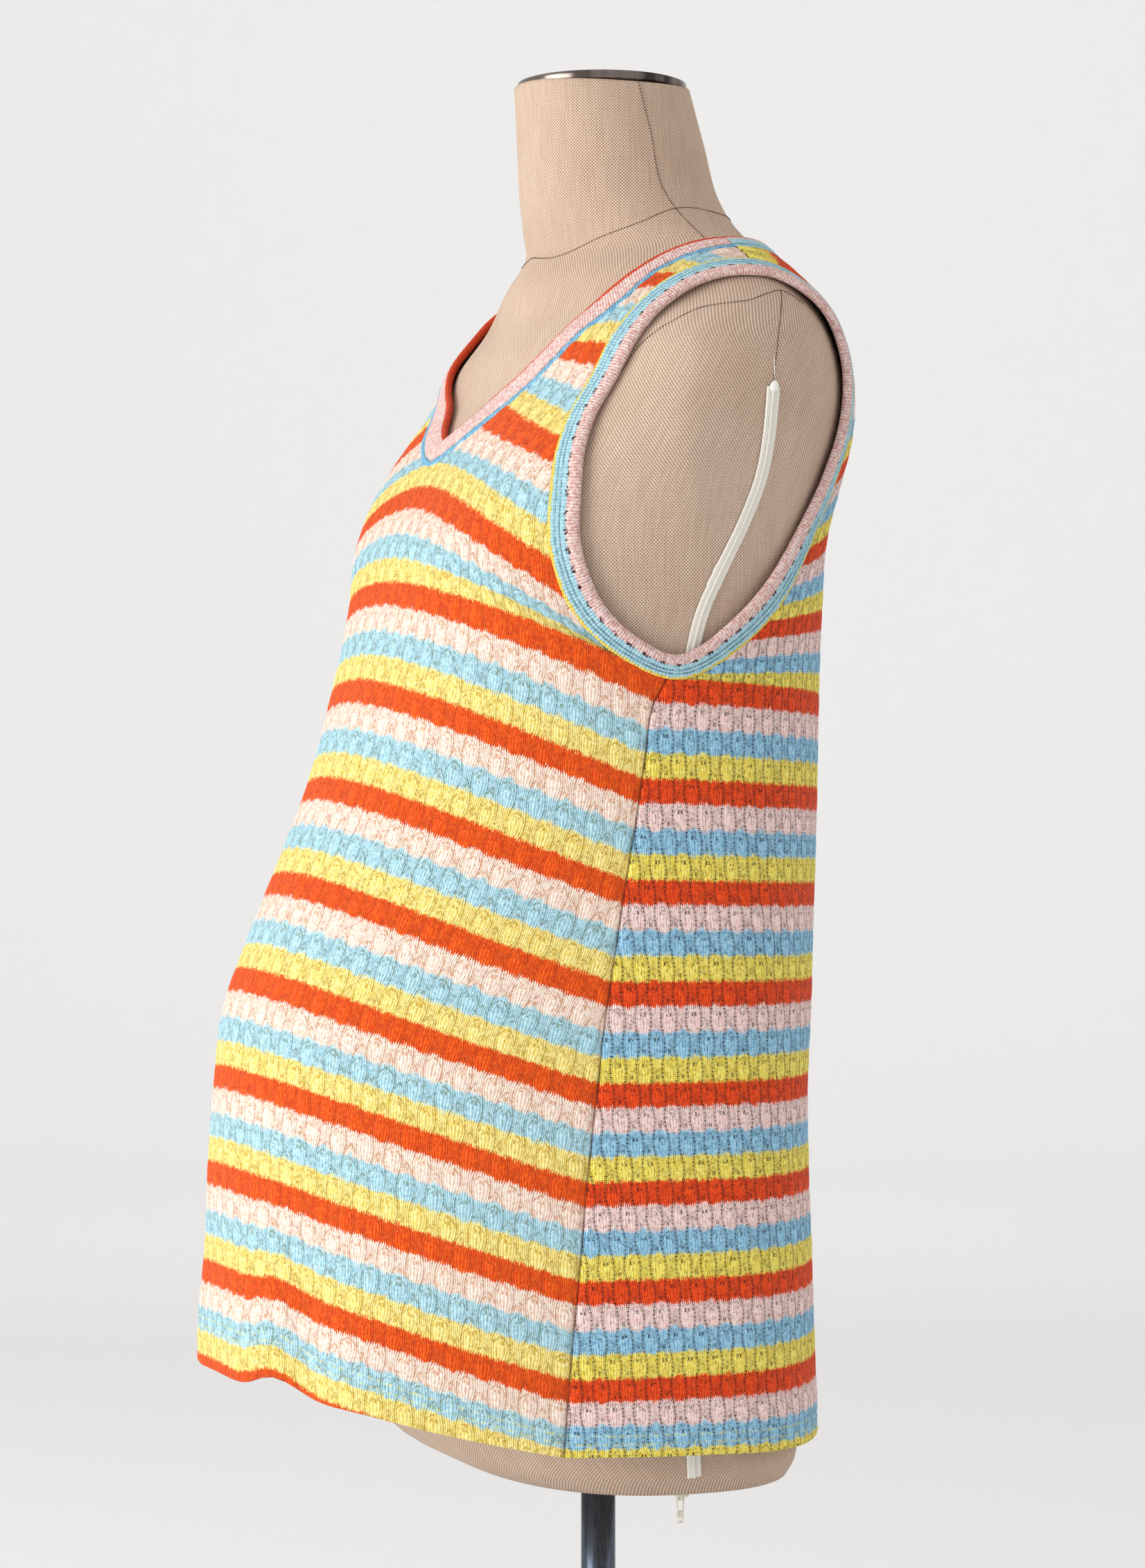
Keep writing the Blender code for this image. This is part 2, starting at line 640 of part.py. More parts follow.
def neck_band(name, back):
    """Half of the neckband, all across, in stations that match the panel's rows."""
    rows = panel_rows(back)
    table, _, _ = courses(back)
    inner = np.interp(rows, table[:, 3], table[:, 0])
    share = inner[inner >= 1 - 1e-9] - 1
    lines = neck_branch(back)
    run = []
    for k in (0, 2):
        run += list(evenly(lines[k], lines[k + 1], share))
    toward = 1 if back else -1
    run = [v.copy() for v in run]
    run[0][-1] += toward * 0.5 * SEAM_GAP / NECK_SEAM_REACH
    run[2][-1] += toward * 0.5 * SEAM_GAP / NECK_FOLD_REACH
    centre = 2 * math.pi if back else 0.0
    whole = []
    for k, v in enumerate(run):
        other = centre - v[::-1] if k in (0, 2) else v[::-1]
        whole.append(np.concatenate([other, v[1:]]))
    across = NECK_BAND_START + np.array(NECK_BAND_STATIONS)[None, :] * (1 - NECK_BAND_START)
    inner, outer = band_section((whole[2], whole[3]), (whole[0], whole[1]), across)
    verts, faces = slab(inner, outer)
    return add_object(name, verts, faces, "band")


def lathe(name, rings, colour, metallic=0.0, rough=0.8):
    """A closed solid through horizontal rings of places, with flat ends."""
    rings = np.asarray(rings)
    count, around = rings.shape[:2]
    verts = rings.reshape(-1, 3)
    faces = [tuple(range(around)), tuple(range((count - 1) * around, count * around))]
    for j in range(count - 1):
        for i in range(around):
            k = (i + 1) % around
            faces.append((j * around + i, j * around + k, (j + 1) * around + k, (j + 1) * around + i))
    return add_object(name, verts, faces, colour, metallic, rough)


def ring_angles(count):
    """Even angles all round, from the front."""
    return np.arange(count) * 2 * math.pi / count


def form_heights():
    """The heights of the form's rings: every section, and halfway along the long steps."""
    heights = [row[0] for row in FORM_SECTIONS]
    heights += [0.5 * (a + b) for a, b in zip(heights, heights[1:]) if b - a > LONG_STEP]
    return np.array(sorted(heights))


def dress_form():
    """The padded torso and neck, whole, with softly rounded ends."""
    heights = form_heights()
    angles = ring_angles(FORM_ROUND)
    rings = [on_form(angles, h + 0 * angles) for h in heights]
    foot, top = rings[0], rings[-1]
    ends = []
    for ring, (middle_y, share, _) in ((foot, FORM_FOOT), (top, FORM_TOP)):
        middle = np.array([0.0, middle_y, ring[0, 2]])
        ends.append(middle + (ring - middle) * (share, share, 1.0))
    rings[0] = foot + (0, 0, FORM_FOOT[2])
    rings[-1] = top - (0, 0, FORM_TOP[2])
    rings = [ends[0], *rings, ends[1]]
    return lathe("dress_form", rings, "linen", 0.0, 0.85)


def neck_cap():
    """The metal disc that closes the neck."""
    angles = ring_angles(CAP_ROUND)
    edge = on_form(angles, FORM_SECTIONS[-1][0] + 0 * angles)
    middle = np.array([0.0, FORM_TOP[0], 0.0])
    rings = []
    for share, height in CAP_PROFILE:
        ring = middle + (edge - middle) * CAP_SHARE * share
        ring[:, 2] = CAP_BOTTOM + height
        rings.append(ring)
    return lathe("neck_cap", rings, "cap", 1.0, 0.3)


def round_solid(name, profile, count, colour, metallic, rough):
    """A solid of revolution about the stand's axis, through radii and heights."""
    angles = ring_angles(count)
    rings = [
        np.stack([r * np.sin(angles), -r * np.cos(angles), h + 0 * angles], axis=-1)
        for r, h in profile
    ]
    return lathe(name, rings, colour, metallic, rough)


def zip_tape():
    """The narrow zip that climbs the form's left side, bending where the form's rings do."""
    table = np.asarray(ZIP_LINE, float)
    rings = form_heights()
    rings = rings[(rings > ZIP_ENDS[0] + ZIP_END_STEP) & (rings < ZIP_ENDS[1] - ZIP_END_STEP)]
    rings = np.concatenate([ZIP_ENDS[:1], rings, ZIP_ENDS[1:]])
    heights = np.sort(np.concatenate([rings, 0.5 * (rings[1:] + rings[:-1])]))
    angle = np.radians(curve_through(table[:, 0], table[:, 1], heights))
    across = (-0.5, 0.0, 0.5)
    grid = [moved(on_form, angle, heights, s * ZIP_WIDTH, steps=2) for s in across]
    angles = np.stack([g[0] for g in grid], axis=-1)
    levels = np.stack([g[1] for g in grid], axis=-1)
    inner = lifted(on_form, angles, levels, ZIP_LIFT + 0 * angles)
    outer = lifted(on_form, angles, levels, ZIP_LIFT + ZIP_THICKNESS + 0 * angles)
    verts, faces = slab(inner, outer)
    return add_object("zip_tape", verts, faces, "tape")


def frame_solid(outline, hole, axis, thickness):
    """Corners and faces of a flat frame: an outline with one hole, both of equal count."""
    verts, faces = [], []
    count = len(outline)
    for level in (-0.5 * thickness, 0.5 * thickness):
        for loop in (outline, hole):
            for a, b in loop:
                verts.append((level, a, b) if axis == "x" else (a, level, b))
    for i in range(count):
        k = (i + 1) % count
        for base in (0, 2 * count):
            faces.append((base + i, base + k, base + count + k, base + count + i))
        faces.append((i, k, 2 * count + k, 2 * count + i))
        faces.append((count + i, count + k, 3 * count + k, 3 * count + i))
    return verts, faces


def zip_slider():
    """The slider under the form's edge, with a small bail below it."""
    x, y = SLIDER_SPOT
    top = FORM_SECTIONS[0][0] - POLE_GAP
    length, width, deep = SLIDER_SIZE
    body = []
    for level in (top, top - deep):
        for sx, sy in ((-0.5, -0.5), (0.5, -0.5), (0.5, 0.5), (-0.5, 0.5)):
            body.append((x + sx * length, y + sy * width, level))
    box = [(0, 1, 2, 3), (4, 5, 6, 7), (0, 1, 5, 4), (1, 2, 6, 5), (2, 3, 7, 6), (3, 0, 4, 7)]
    thing = add_object("zip_slider", body, box, "pull", 0.0, 0.4)
    centre = top - deep - BAIL_HOLE
    around = ring_angles(BAIL_ROUND)
    hole = [(x + BAIL_HOLE * math.sin(t), centre + BAIL_HOLE * math.cos(t)) for t in around]
    big = BAIL_HOLE + BAIL_WALL
    outline = [(x + big * math.sin(t), centre + big * math.cos(t)) for t in around]
    verts, faces = frame_solid(outline, hole, "y", BAIL_WIDTH)
    verts = [(a, b + y, c) for a, b, c in verts]
    helper = add_object("bail_helper", verts, faces, "pull")
    helper.hide_render = True
    helper.display_type = "WIRE"
    join = thing.modifiers.new("join", "BOOLEAN")
    join.operation = "UNION"
    join.solver = "EXACT"
    join.object = helper
    return thing


def zip_pull():
    """The drop-shaped pull tab, hung by its top bar in the slider's bail."""
    x, y = SLIDER_SPOT
    centre = FORM_SECTIONS[0][0] - POLE_GAP - SLIDER_SIZE[2] - BAIL_HOLE
    outline, hole = [], []
    for t in ring_angles(PULL_ROUND):
        side, drop = math.sin(t), 0.5 - 0.5 * math.cos(t)
        half = PULL_TOP_HALF_WIDTH + PULL_FOOT_SPREAD * drop
        level = centre + PULL_CROWN - (PULL_DROP + PULL_CROWN) * drop
        outline.append((y + half * side, level))
        hole_level = centre - PULL_BAR - PULL_HOLE_DROP * drop
        hole.append((y + PULL_HOLE_HALF_WIDTH * side, hole_level))
    verts, faces = frame_solid(outline, hole, "x", 2 * PULL_BAR)
    verts = [(a + x, b, c) for a, b, c in verts]
    return add_object("zip_pull", verts, faces, "pull", 0.0, 0.4)


for old in list(bpy.data.objects):
    bpy.data.objects.remove(old, do_unlink=True)
SET = bpy.data.collections.new("tank_top_on_form")
bpy.context.scene.collection.children.link(SET)

panel("front_panel", back=False)
panel("back_panel", back=True)
neck_band("neckband_front", back=False)
neck_band("neckband_back", back=True)
arm_band("armhole_band_left", side=1)
arm_band("armhole_band_right", side=-1)
dress_form()
neck_cap()
zip_tape()
zip_slider()
zip_pull()
round_solid("stand_base", BASE_PROFILE, BASE_ROUND, "steel", 0.6, 0.4)
pole_ends = (BASE_PROFILE[-1][1] + POLE_GAP, FORM_SECTIONS[0][0] - POLE_GAP)
pole_profile = [(POLE_RADIUS, height) for height in pole_ends]
round_solid("stand_pole", pole_profile, POLE_ROUND, "steel", 0.8, 0.35)
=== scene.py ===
"""The looks of the striped knit tank top on its maternity dress form.

Metres, +Z up, the wearer faces -Y. The cloth and the form are lofts through the same horizontal
sections as the CAD model, read much finer. Every cloth piece carries a map in metres: the
distance along its courses and the height up its knit, which the knitted materials read.
"""

import math

import bmesh
import bpy
import numpy as np
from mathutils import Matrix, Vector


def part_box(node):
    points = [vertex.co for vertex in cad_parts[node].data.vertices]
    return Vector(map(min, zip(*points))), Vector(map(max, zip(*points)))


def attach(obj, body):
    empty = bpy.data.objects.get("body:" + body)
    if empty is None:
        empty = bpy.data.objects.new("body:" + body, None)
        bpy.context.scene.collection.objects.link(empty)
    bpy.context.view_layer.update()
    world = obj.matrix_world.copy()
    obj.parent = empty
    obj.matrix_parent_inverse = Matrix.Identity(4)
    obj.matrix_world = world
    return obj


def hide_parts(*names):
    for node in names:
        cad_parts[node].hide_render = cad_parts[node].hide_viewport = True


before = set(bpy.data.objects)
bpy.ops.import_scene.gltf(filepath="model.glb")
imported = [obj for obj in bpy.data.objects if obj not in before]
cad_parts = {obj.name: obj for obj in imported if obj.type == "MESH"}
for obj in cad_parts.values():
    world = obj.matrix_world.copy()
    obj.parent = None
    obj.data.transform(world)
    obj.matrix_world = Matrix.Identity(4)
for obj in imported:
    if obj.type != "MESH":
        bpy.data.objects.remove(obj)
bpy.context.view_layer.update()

# Columns: height, half width, front depth, back depth, middle Y, front and back squareness.
FORM_SECTIONS = (
    (0.259, 0.137, 0.094, 0.086, 0.010, 2.50, 2.20),
    (0.268, 0.149, 0.108, 0.092, 0.006, 2.40, 2.20),
    (0.285, 0.156, 0.127, 0.094, 0.003, 2.10, 2.20),
    (0.310, 0.160, 0.162, 0.094, 0.000, 2.10, 2.20),
    (0.345, 0.162, 0.196, 0.093, 0.000, 2.10, 2.20),
    (0.390, 0.163, 0.2215, 0.092, 0.000, 2.08, 2.20),
    (0.435, 0.162, 0.2247, 0.091, 0.000, 2.02, 2.20),
    (0.480, 0.160, 0.2218, 0.090, 0.000, 2.00, 2.20),
    (0.520, 0.157, 0.2167, 0.089, 0.000, 2.00, 2.20),
    (0.560, 0.154, 0.2018, 0.089, 0.000, 2.00, 2.20),
    (0.600, 0.150, 0.1847, 0.091, 0.000, 2.00, 2.20),
    (0.650, 0.146, 0.1634, 0.095, 0.000, 2.08, 2.20),
    (0.700, 0.145, 0.1473, 0.100, 0.000, 2.20, 2.20),
    (0.750, 0.148, 0.1358, 0.102, 0.003, 2.40, 2.30),
    (0.790, 0.156, 0.1304, 0.100, 0.008, 2.70, 2.39),
    (0.820, 0.163, 0.1197, 0.100, 0.014, 2.90, 2.40),
    (0.845, 0.168, 0.1096, 0.100, 0.019, 2.60, 2.40),
    (0.870, 0.170, 0.0992, 0.092, 0.026, 2.45, 2.40),
    (0.895, 0.165, 0.0946, 0.084, 0.031, 2.25, 2.24),
    (0.917, 0.150, 0.0880, 0.076, 0.035, 1.95, 2.04),
    (0.938, 0.1268, 0.0860, 0.060, 0.037, 1.70, 1.92),
    (0.957, 0.0929, 0.0735, 0.054, 0.033, 1.65, 1.89),
    (0.972, 0.0725, 0.0680, 0.0515, 0.026, 1.90, 2.00),
    (0.988, 0.061, 0.0615, 0.0540, 0.017, 2.00, 2.00),
    (1.021, 0.054, 0.0560, 0.0535, 0.009, 2.00, 2.00),
    (1.054, 0.050, 0.0520, 0.0505, 0.003, 2.00, 2.00),
)
CLOTH_SECTIONS = (
    (0.255, 0.176, 0.2305, 0.1015, 0.000, 2.10, 2.20),
    (0.300, 0.174, 0.2310, 0.1020, 0.000, 2.10, 2.20),
    (0.345, 0.173, 0.2314, 0.1007, 0.000, 2.11, 2.20),
    (0.390, 0.171, 0.2290, 0.1000, 0.000, 2.09, 2.20),
    (0.435, 0.169, 0.2289, 0.0990, 0.000, 2.02, 2.20),
    (0.480, 0.166, 0.2258, 0.1000, 0.000, 2.00, 2.20),
    (0.520, 0.163, 0.2209, 0.1039, 0.000, 2.00, 2.20),
    (0.560, 0.160, 0.2060, 0.1066, 0.000, 2.00, 2.20),
    (0.600, 0.155, 0.1889, 0.1103, 0.000, 2.00, 2.20),
    (0.650, 0.151, 0.1676, 0.1135, 0.000, 2.08, 2.20),
    (0.700, 0.150, 0.1513, 0.1151, 0.000, 2.20, 2.20),
    (0.750, 0.153, 0.1396, 0.1108, 0.003, 2.40, 2.30),
    (0.790, 0.161, 0.1341, 0.1040, 0.008, 2.70, 2.39),
    (0.820, 0.168, 0.1237, 0.1042, 0.014, 2.90, 2.40),
    (0.845, 0.173, 0.1136, 0.1042, 0.019, 2.60, 2.40),
    (0.870, 0.175, 0.1032, 0.0960, 0.026, 2.45, 2.40),
    (0.895, 0.171, 0.0991, 0.0890, 0.031, 2.25, 2.24),
    (0.917, 0.157, 0.0932, 0.0814, 0.035, 1.95, 2.04),
    (0.938, 0.129, 0.0940, 0.0662, 0.037, 1.70, 1.92),
    (0.957, 0.095, 0.0815, 0.0600, 0.033, 1.65, 1.89),
    (0.972, 0.077, 0.0755, 0.0575, 0.026, 1.90, 2.00),
    (0.988, 0.067, 0.0675, 0.0595, 0.017, 2.00, 2.00),
)

# Columns: angle in degrees and height of the folded edge of the neckband, from the V to the nape.
NECK_EDGE = (
    (0.0, 0.8460), (5.6, 0.8550), (12.0, 0.8690), (19.4, 0.8812), (26.0, 0.8945), (31.8, 0.9095),
    (40.1, 0.9234), (51.4, 0.9353), (63.4, 0.9449), (77.0, 0.9520), (90.0, 0.9552), (110.0, 0.9570),
    (140.0, 0.9560), (180.0, 0.9540),
)
# Columns: angle in degrees and height of the armhole's folded edge, from the underarm forwards.
ARM_EDGE = (
    (82.0, 0.7195), (73.5, 0.7285), (64.9, 0.7470), (58.6, 0.7730), (54.2, 0.8028), (49.4, 0.8331),
    (47.4, 0.8642), (50.6, 0.8930), (56.6, 0.9110), (65.4, 0.9215), (76.0, 0.9280), (86.9, 0.9302),
    (97.7, 0.9290), (105.0, 0.9255), (113.5, 0.9180), (120.0, 0.9060), (123.3, 0.8860),
    (124.0, 0.8600), (122.6, 0.8330), (119.8, 0.8106), (113.2, 0.7813), (104.5, 0.7560),
    (92.9, 0.7335),
)
# Columns: angle in degrees and height of the side seam, from the hem to the underarm.
SIDE_SEAM = (
    (67.2, 0.2895), (70.5, 0.4287), (73.0, 0.5145), (74.3, 0.5690), (76.3, 0.6332), (77.2, 0.6650),
    (78.5, 0.6940), (81.0, 0.7075),
)
# Columns: angle in degrees and height of the seam that joins the neckband to the panels.
NECK_SEAM = (
    (0.0, 0.8310), (5.0, 0.8350), (12.1, 0.8455), (20.7, 0.8638), (28.4, 0.8826), (38.8, 0.9059),
    (54.9, 0.9300), (74.0, 0.9435), (90.0, 0.9487), (110.0, 0.9505), (140.0, 0.9485),
    (180.0, 0.9465),
)
# The next two tables match places on a panel's inner edge with places on its outer edge, course
# by course. An inner station from 0 to 1 climbs the centre line and from 1 to 2 follows the neck
# seam. An outer station from 0 to 1 climbs the side seam and from 1 to 2 follows the armhole.
# The pattern heights are measured on the flat knit, from the hem at the side seam.
# Columns: inner station, inner pattern height, outer station, outer pattern height.
FRONT_COURSES = (
    (0.0000, -0.0155, 0.0000, 0.0000), (0.1180, 0.0455, 0.0993, 0.0455),
    (0.2282, 0.0995, 0.2244, 0.0995), (0.4402, 0.2075, 0.4758, 0.2075),
    (0.6500, 0.3155, 0.7372, 0.3155), (0.8676, 0.4235, 1.0000, 0.4235),
    (0.9745, 0.4775, 1.2900, 0.4775), (1.0000, 0.4910, 1.3450, 0.4910),
    (1.3000, 0.5315, 1.5000, 0.5315), (1.5300, 0.5855, 1.6900, 0.5855),
    (1.7800, 0.6395, 1.8700, 0.6395), (2.0000, 0.6800, 2.0000, 0.6800),
)
BACK_COURSES = (
    (0.0000, 0.0000, 0.0000, 0.0000), (0.0720, 0.0455, 0.0993, 0.0455),
    (0.1510, 0.0995, 0.2244, 0.0995), (0.3080, 0.2075, 0.4758, 0.2075),
    (0.4670, 0.3155, 0.7372, 0.3155), (0.6280, 0.4235, 1.0000, 0.4235),
    (0.7090, 0.4775, 1.2200, 0.4775), (0.7890, 0.5315, 1.3800, 0.5315),
    (0.8700, 0.5855, 1.5300, 0.5815), (0.9410, 0.6355, 1.6400, 0.6200),
    (1.0000, 0.6770, 1.7100, 0.6440), (1.2500, 0.6800, 1.7800, 0.6580),
    (1.5300, 0.6860, 1.8600, 0.6770), (1.8200, 0.6950, 1.9400, 0.6930),
    (2.0000, 0.7015, 2.0000, 0.7015),
)
# Columns: angle in degrees, spread in degrees, height where the fold ends, push outwards and
# lift along the body at the hem.
FOLDS = (
    (13.0, 8.0, 0.450, 0.0020, 0.0000), (20.5, 5.0, 0.450, 0.0010, 0.0085),
    (26.5, 5.5, 0.470, -0.0060, 0.0000), (38.0, 9.0, 0.430, 0.0020, 0.0020),
    (150.0, 14.0, 0.520, 0.0020, 0.0000),
)
# Columns: height and angle in degrees of the zip along the form's left side, from its hem end up.
ZIP_LINE = (
    (0.270, 83.0), (0.300, 84.4), (0.500, 85.4), (0.680, 86.0), (0.725, 87.0), (0.742, 88.2),
    (0.758, 90.2), (0.775, 92.8), (0.792, 95.3), (0.814, 97.0), (0.841, 95.9), (0.865, 92.9),
)

HEM_DEPTH = 0.0245
CLOTH_THICKNESS = 0.0016
HEM_SWELL = 0.0005
ARM_BAND_WIDTH = 0.0165
UNDERARM_BAND_WIDTH = 0.0130
CENTRE_HEM_FRONT = 0.321
CENTRE_HEM_BACK = 0.2825
UNDERARM_TURN = 81.0
SHOULDER_TURN = 90.0
# Below this height a fold has its whole size.
FOLD_BOTTOM = 0.30
# The armhole band grows from its underarm width over this height, from this height up.
UNDERARM_TOP = 0.722
UNDERARM_RISE = 0.035
# Parts of the armhole's line where its underarm and its shoulder are looked for.
UNDERARM_BELOW = 0.80
SHOULDER_ABOVE = 0.92
ARM_LINE_COUNT = 480
NECK_LINE_COUNT = 600

# The knit: a stripe is one row of pointed ovals, and the rows are staggered like bricks.
STRIPE = 0.0135
FIRST_RED_TOP = 0.0455
OVAL_PITCH = 0.0144
OVAL_SWELL = 0.13
WALES_PER_HALF = 6
COURSES_PER_STRIPE = 12
RELIEF = 0.00042
# How much wider the knit is stretched than on the back. Columns: pattern height, stretch.
FRONT_STRETCH = (
    (0.00, 1.17), (0.33, 1.16), (0.43, 1.10), (0.50, 1.03), (0.70, 1.00),
)

# The hem: how far up its edge is round, how its end blends in, and its two sunk rows of stitches.
HEM_EDGE = 0.0018
HEM_BLEND = 0.001
HEM_STITCH_ROWS = (0.0077, 0.0125)
STITCH_SINK = 0.0004
STITCH_SPREAD = 0.0012
SEAM_SINK = 0.0008
SEAM_SINK_WIDTH = 0.0013
NECK_BAND_WIDTH = 0.0115
NECK_BAND_COUNT = 150
# The bands' sections. Columns: share of the way from seam to fold, lift off the cloth's line, and
# the way round: 0 at the seam, 1 at the fold and 2 back at the seam inside.
NECK_PROFILE = (
    (-0.10, 0.0004, 0.0), (-0.10, 0.0019, 0.02), (-0.02, 0.0026, 0.06), (0.03, 0.0021, 0.10),
    (0.08, 0.0020, 0.13), (0.14, 0.0026, 0.17), (0.30, 0.0029, 0.32), (0.60, 0.0029, 0.60),
    (0.82, 0.0028, 0.82), (0.93, 0.0024, 0.93), (1.00, 0.0013, 1.02), (0.96, -0.0010, 1.10),
    (0.82, -0.0020, 1.25), (0.40, -0.0008, 1.60), (-0.10, 0.0004, 2.0),
)
ARM_PROFILE = (
    (-0.06, 0.0002, 0.0), (-0.06, 0.0018, 0.01), (0.00, 0.0024, 0.03), (0.06, 0.0022, 0.07),
    (0.10, 0.0025, 0.11), (0.14, 0.0025, 0.15), (0.18, 0.0019, 0.19), (0.22, 0.0025, 0.23),
    (0.28, 0.0026, 0.29), (0.33, 0.0020, 0.34), (0.38, 0.0026, 0.39), (0.48, 0.0027, 0.48),
    (0.53, 0.0026, 0.53), (0.60, 0.0031, 0.60), (0.75, 0.0036, 0.75), (0.90, 0.0033, 0.90),
    (0.98, 0.0023, 0.98), (1.00, 0.0010, 1.03), (0.97, -0.0006, 1.10), (0.85, -0.0016, 1.2),
    (0.50, -0.0008, 1.5), (-0.06, 0.0002, 2.0),
)
# The panels' grid: its rows, the extra rows over the hem's round edge, its columns, and the extra
# columns beside the side seam as shares of the way to it.
ROW_STEP = STRIPE / 6
HEM_ROWS = (0.06, 0.25, 0.6)
FRONT_COLUMNS = 118
BACK_COLUMNS = 92
SEAM_COLUMNS = (0.986, 0.991, 0.995, 0.998, 1.0)
# The part of the neck seam's length over which the courses turn from arched to straight.
STRAP_START = 0.25
COVER_PITCH = 0.0019

# The holes of the pattern. The next six are each for the front and for the back.
LADDER_WIDTH = ((0.035, 0.085), (0.06, 0.13))
LADDER_LEAST = (0.2, 0.65)
SMALL_HOLE = (0.6, 0.5)
FLECKS = (0.35, 0.4)
ARC_HOLES = (0.8, 0.45)
VALLEY_SHADE = (0.3, 0.2)
SEAM_SHADE = 0.7
# How far each colour's ovals reach up into the next one, as lobes and as peaks, and how far each
# wale does. Columns: yellow, blue, pink, red.
LOBES = (0.05, 0.0, 0.09, 0.0)
PEAKS = (0.04, 0.16, 0.0, 0.03)
TEETH = 0.15

# Colours as they look on screen. Rows: yarn, painted shade in the strand gaps, holes with the painted
# shade behind the cloth. Columns: yellow, blue, pink, red. The front's yarn is paler, painted with the
# strong light on the front, and the back's holes are near black.
KNIT_FRONT_LIT = (
    ((250, 236, 160), (190, 226, 238), (248, 234, 222), (240, 98, 22)),
    ((230, 200, 90), (142, 190, 206), (236, 200, 180), (208, 60, 6)),
    ((196, 156, 40), (126, 144, 122), (214, 148, 100), (206, 76, 20)),
)
KNIT_BACK = (
    ((255, 244, 128), (172, 220, 244), (255, 232, 228), (250, 86, 26)),
    ((232, 202, 62), (116, 172, 208), (238, 194, 188), (214, 56, 12)),
    ((40, 28, 10), (20, 20, 24), (42, 22, 18), (66, 24, 12)),
)

HEM_THREAD = (226, 222, 130)
# The dark of the painted shade in the side seam's crease.
SEAM_CREASE_SHADE = (60, 30, 24)

# The bands' yarns: tone and shade.
RED_INSIDE = ((236, 84, 36), (196, 52, 16))
PINK_YARN = ((255, 236, 230), (214, 152, 146))
BLUE_YARN = ((200, 235, 244), (146, 202, 222))
YELLOW_YARN = ((246, 226, 110), (220, 190, 70))
PIPING = ((150, 212, 242), (84, 154, 200))
# Columns: share from the seam where a colour ends, its tone, its shade.
NECK_ZONES = ((0.13, *PIPING), (0.86, *PINK_YARN), (9.0, *RED_INSIDE))
NECK_ZONES_BACK = ((0.62, *BLUE_YARN), (0.90, *PINK_YARN), (9.0, *RED_INSIDE))
ARM_ZONES = ((0.06, *YELLOW_YARN), (0.55, *BLUE_YARN), (9.0, *PINK_YARN))
RED_LEAN = 0.14
RIB_PITCH = 0.0018
BAND_STITCH = 0.0014
NECK_FURROWS = (0.135,)
ARM_FURROWS = (0.19, 0.34)
# The dark of the painted shade in the bands' furrows.
FURROW_SHADE = (40, 60, 80)
# The armhole bands' small holes: share from the seam, and pitch of their clusters.
EYELETS = (0.55, 0.0105)
# The painted shade seen through the bands' small dots and through their holes.
SMALL_DOT_SHADE = (96, 52, 56)
EYELET_HOLE_SHADE = (70, 24, 26)
# Screen colours of the seams' thread, the zip's stop, the pull, the cap, the pole and the base.
THREAD_TONE = (84, 62, 48)
WHITE_TONE = (238, 236, 230)
CREAM_TONE = (226, 221, 204)
CAP_TONE = (132, 122, 116)
STEEL_TONE = (88, 98, 112)
BASE_TONE = (44, 47, 54)
# The form's cover: two cream tones, the slubs, and the darker colour between its yarns.
COVER_TONES = ((223, 200, 179), (213, 188, 166), (182, 152, 129), (118, 88, 72))
NECK_DIP = 0.0035
NECK_DIP_START = 1.01
CAP_Y = 0.003
FORM_FOOT_Y = 0.014
# The form's rows of vertices: heights where they change, and how many between. Its half turn.
FORM_STOPS = (0.72, 0.99)
FORM_COUNTS = (110, 150, 30)
FORM_HALF = 120
# How its ends turn in: shares of its outline, and ways past its edge on the cover's map.
END_SHARES = (0.985, 0.95, 0.5, 0.02)
END_WAYS = (0.002, 0.004, 0.02, 0.05)

# Seams of the form's cover on the wearer's left. Columns: angle in degrees and height.
FORM_SEAMS = (
    ((47.8, 0.8747), (50.3, 0.8861), (55.1, 0.8965), (60.5, 0.9034), (66.7, 0.9094),
     (73.5, 0.9118), (83.3, 0.9143), (92.9, 0.9198), (99.5, 0.9218), (112.0, 0.9150)),
    ((99.5, 0.9218), (95.5, 0.9080), (93.1, 0.8955), (92.2, 0.8797), (92.7, 0.8643)),
    ((0.0, 0.9535), (14.7, 0.9510), (37.5, 0.9594), (62.4, 0.9673), (85.4, 0.9762),
     (120.0, 0.9762), (180.0, 0.9762)),
    ((89.5, 1.0520), (90.5, 1.0240), (89.0, 1.0000), (85.4, 0.9762), (84.5, 0.9660), (83.6, 0.9554)),
)
SEAM_COUNT = 200
# Stitches: length, gap, radius and, for the loose thread, lift.
SEAM_STITCH = (0.0012, 0.0006, 0.00032)
LOOSE_STITCH = (0.0135, 0.01, 0.00022, 0.0012)
# A thread that hangs at the zip's top. Columns: angle in degrees and height.
LOOSE_THREAD = ((91.0, 0.8825), (91.8, 0.8755), (92.6, 0.8685))
# The zip's section in millimetres. Columns: distance from its middle, lift.
ZIP_SECTION = (
    (-4.0, 0.5), (-3.9, 1.0), (-3.4, 1.35), (-2.6, 1.25), (-1.3, 1.15), (-0.95, 1.0),
    (-0.8, 1.5), (-0.45, 1.95), (0.0, 1.75), (0.45, 1.95), (0.8, 1.5), (0.95, 1.0),
    (1.3, 1.15), (2.6, 1.25), (3.4, 1.35), (3.9, 1.0), (4.0, 0.5),
)
# How far above the zip's foot its tapes start, and their rows.
ZIP_FOOT = 0.002
ZIP_COUNT = 420
# The tape's painted shade in its hollows, and its tone on its ridges.
TAPE_SHADE_AND_LIT = ((222, 217, 204), (246, 243, 234))
TAPE_RIB = 0.0006
COIL_PITCH = 0.0011
# The stop at the zip's top: its two ends' widths and its depth, lift, and heights above the zip.
STOP_SIZE = (0.0052, 0.0046, 0.0022)
STOP_LIFT = 0.0015
STOP_RISES = (-0.0004, 0.0012)
# The pull: half widths at its top and foot, and how far up from the foot its web is.
PULL_TOP = 0.0021
PULL_FOOT = 0.0013
PULL_WEB = 0.42
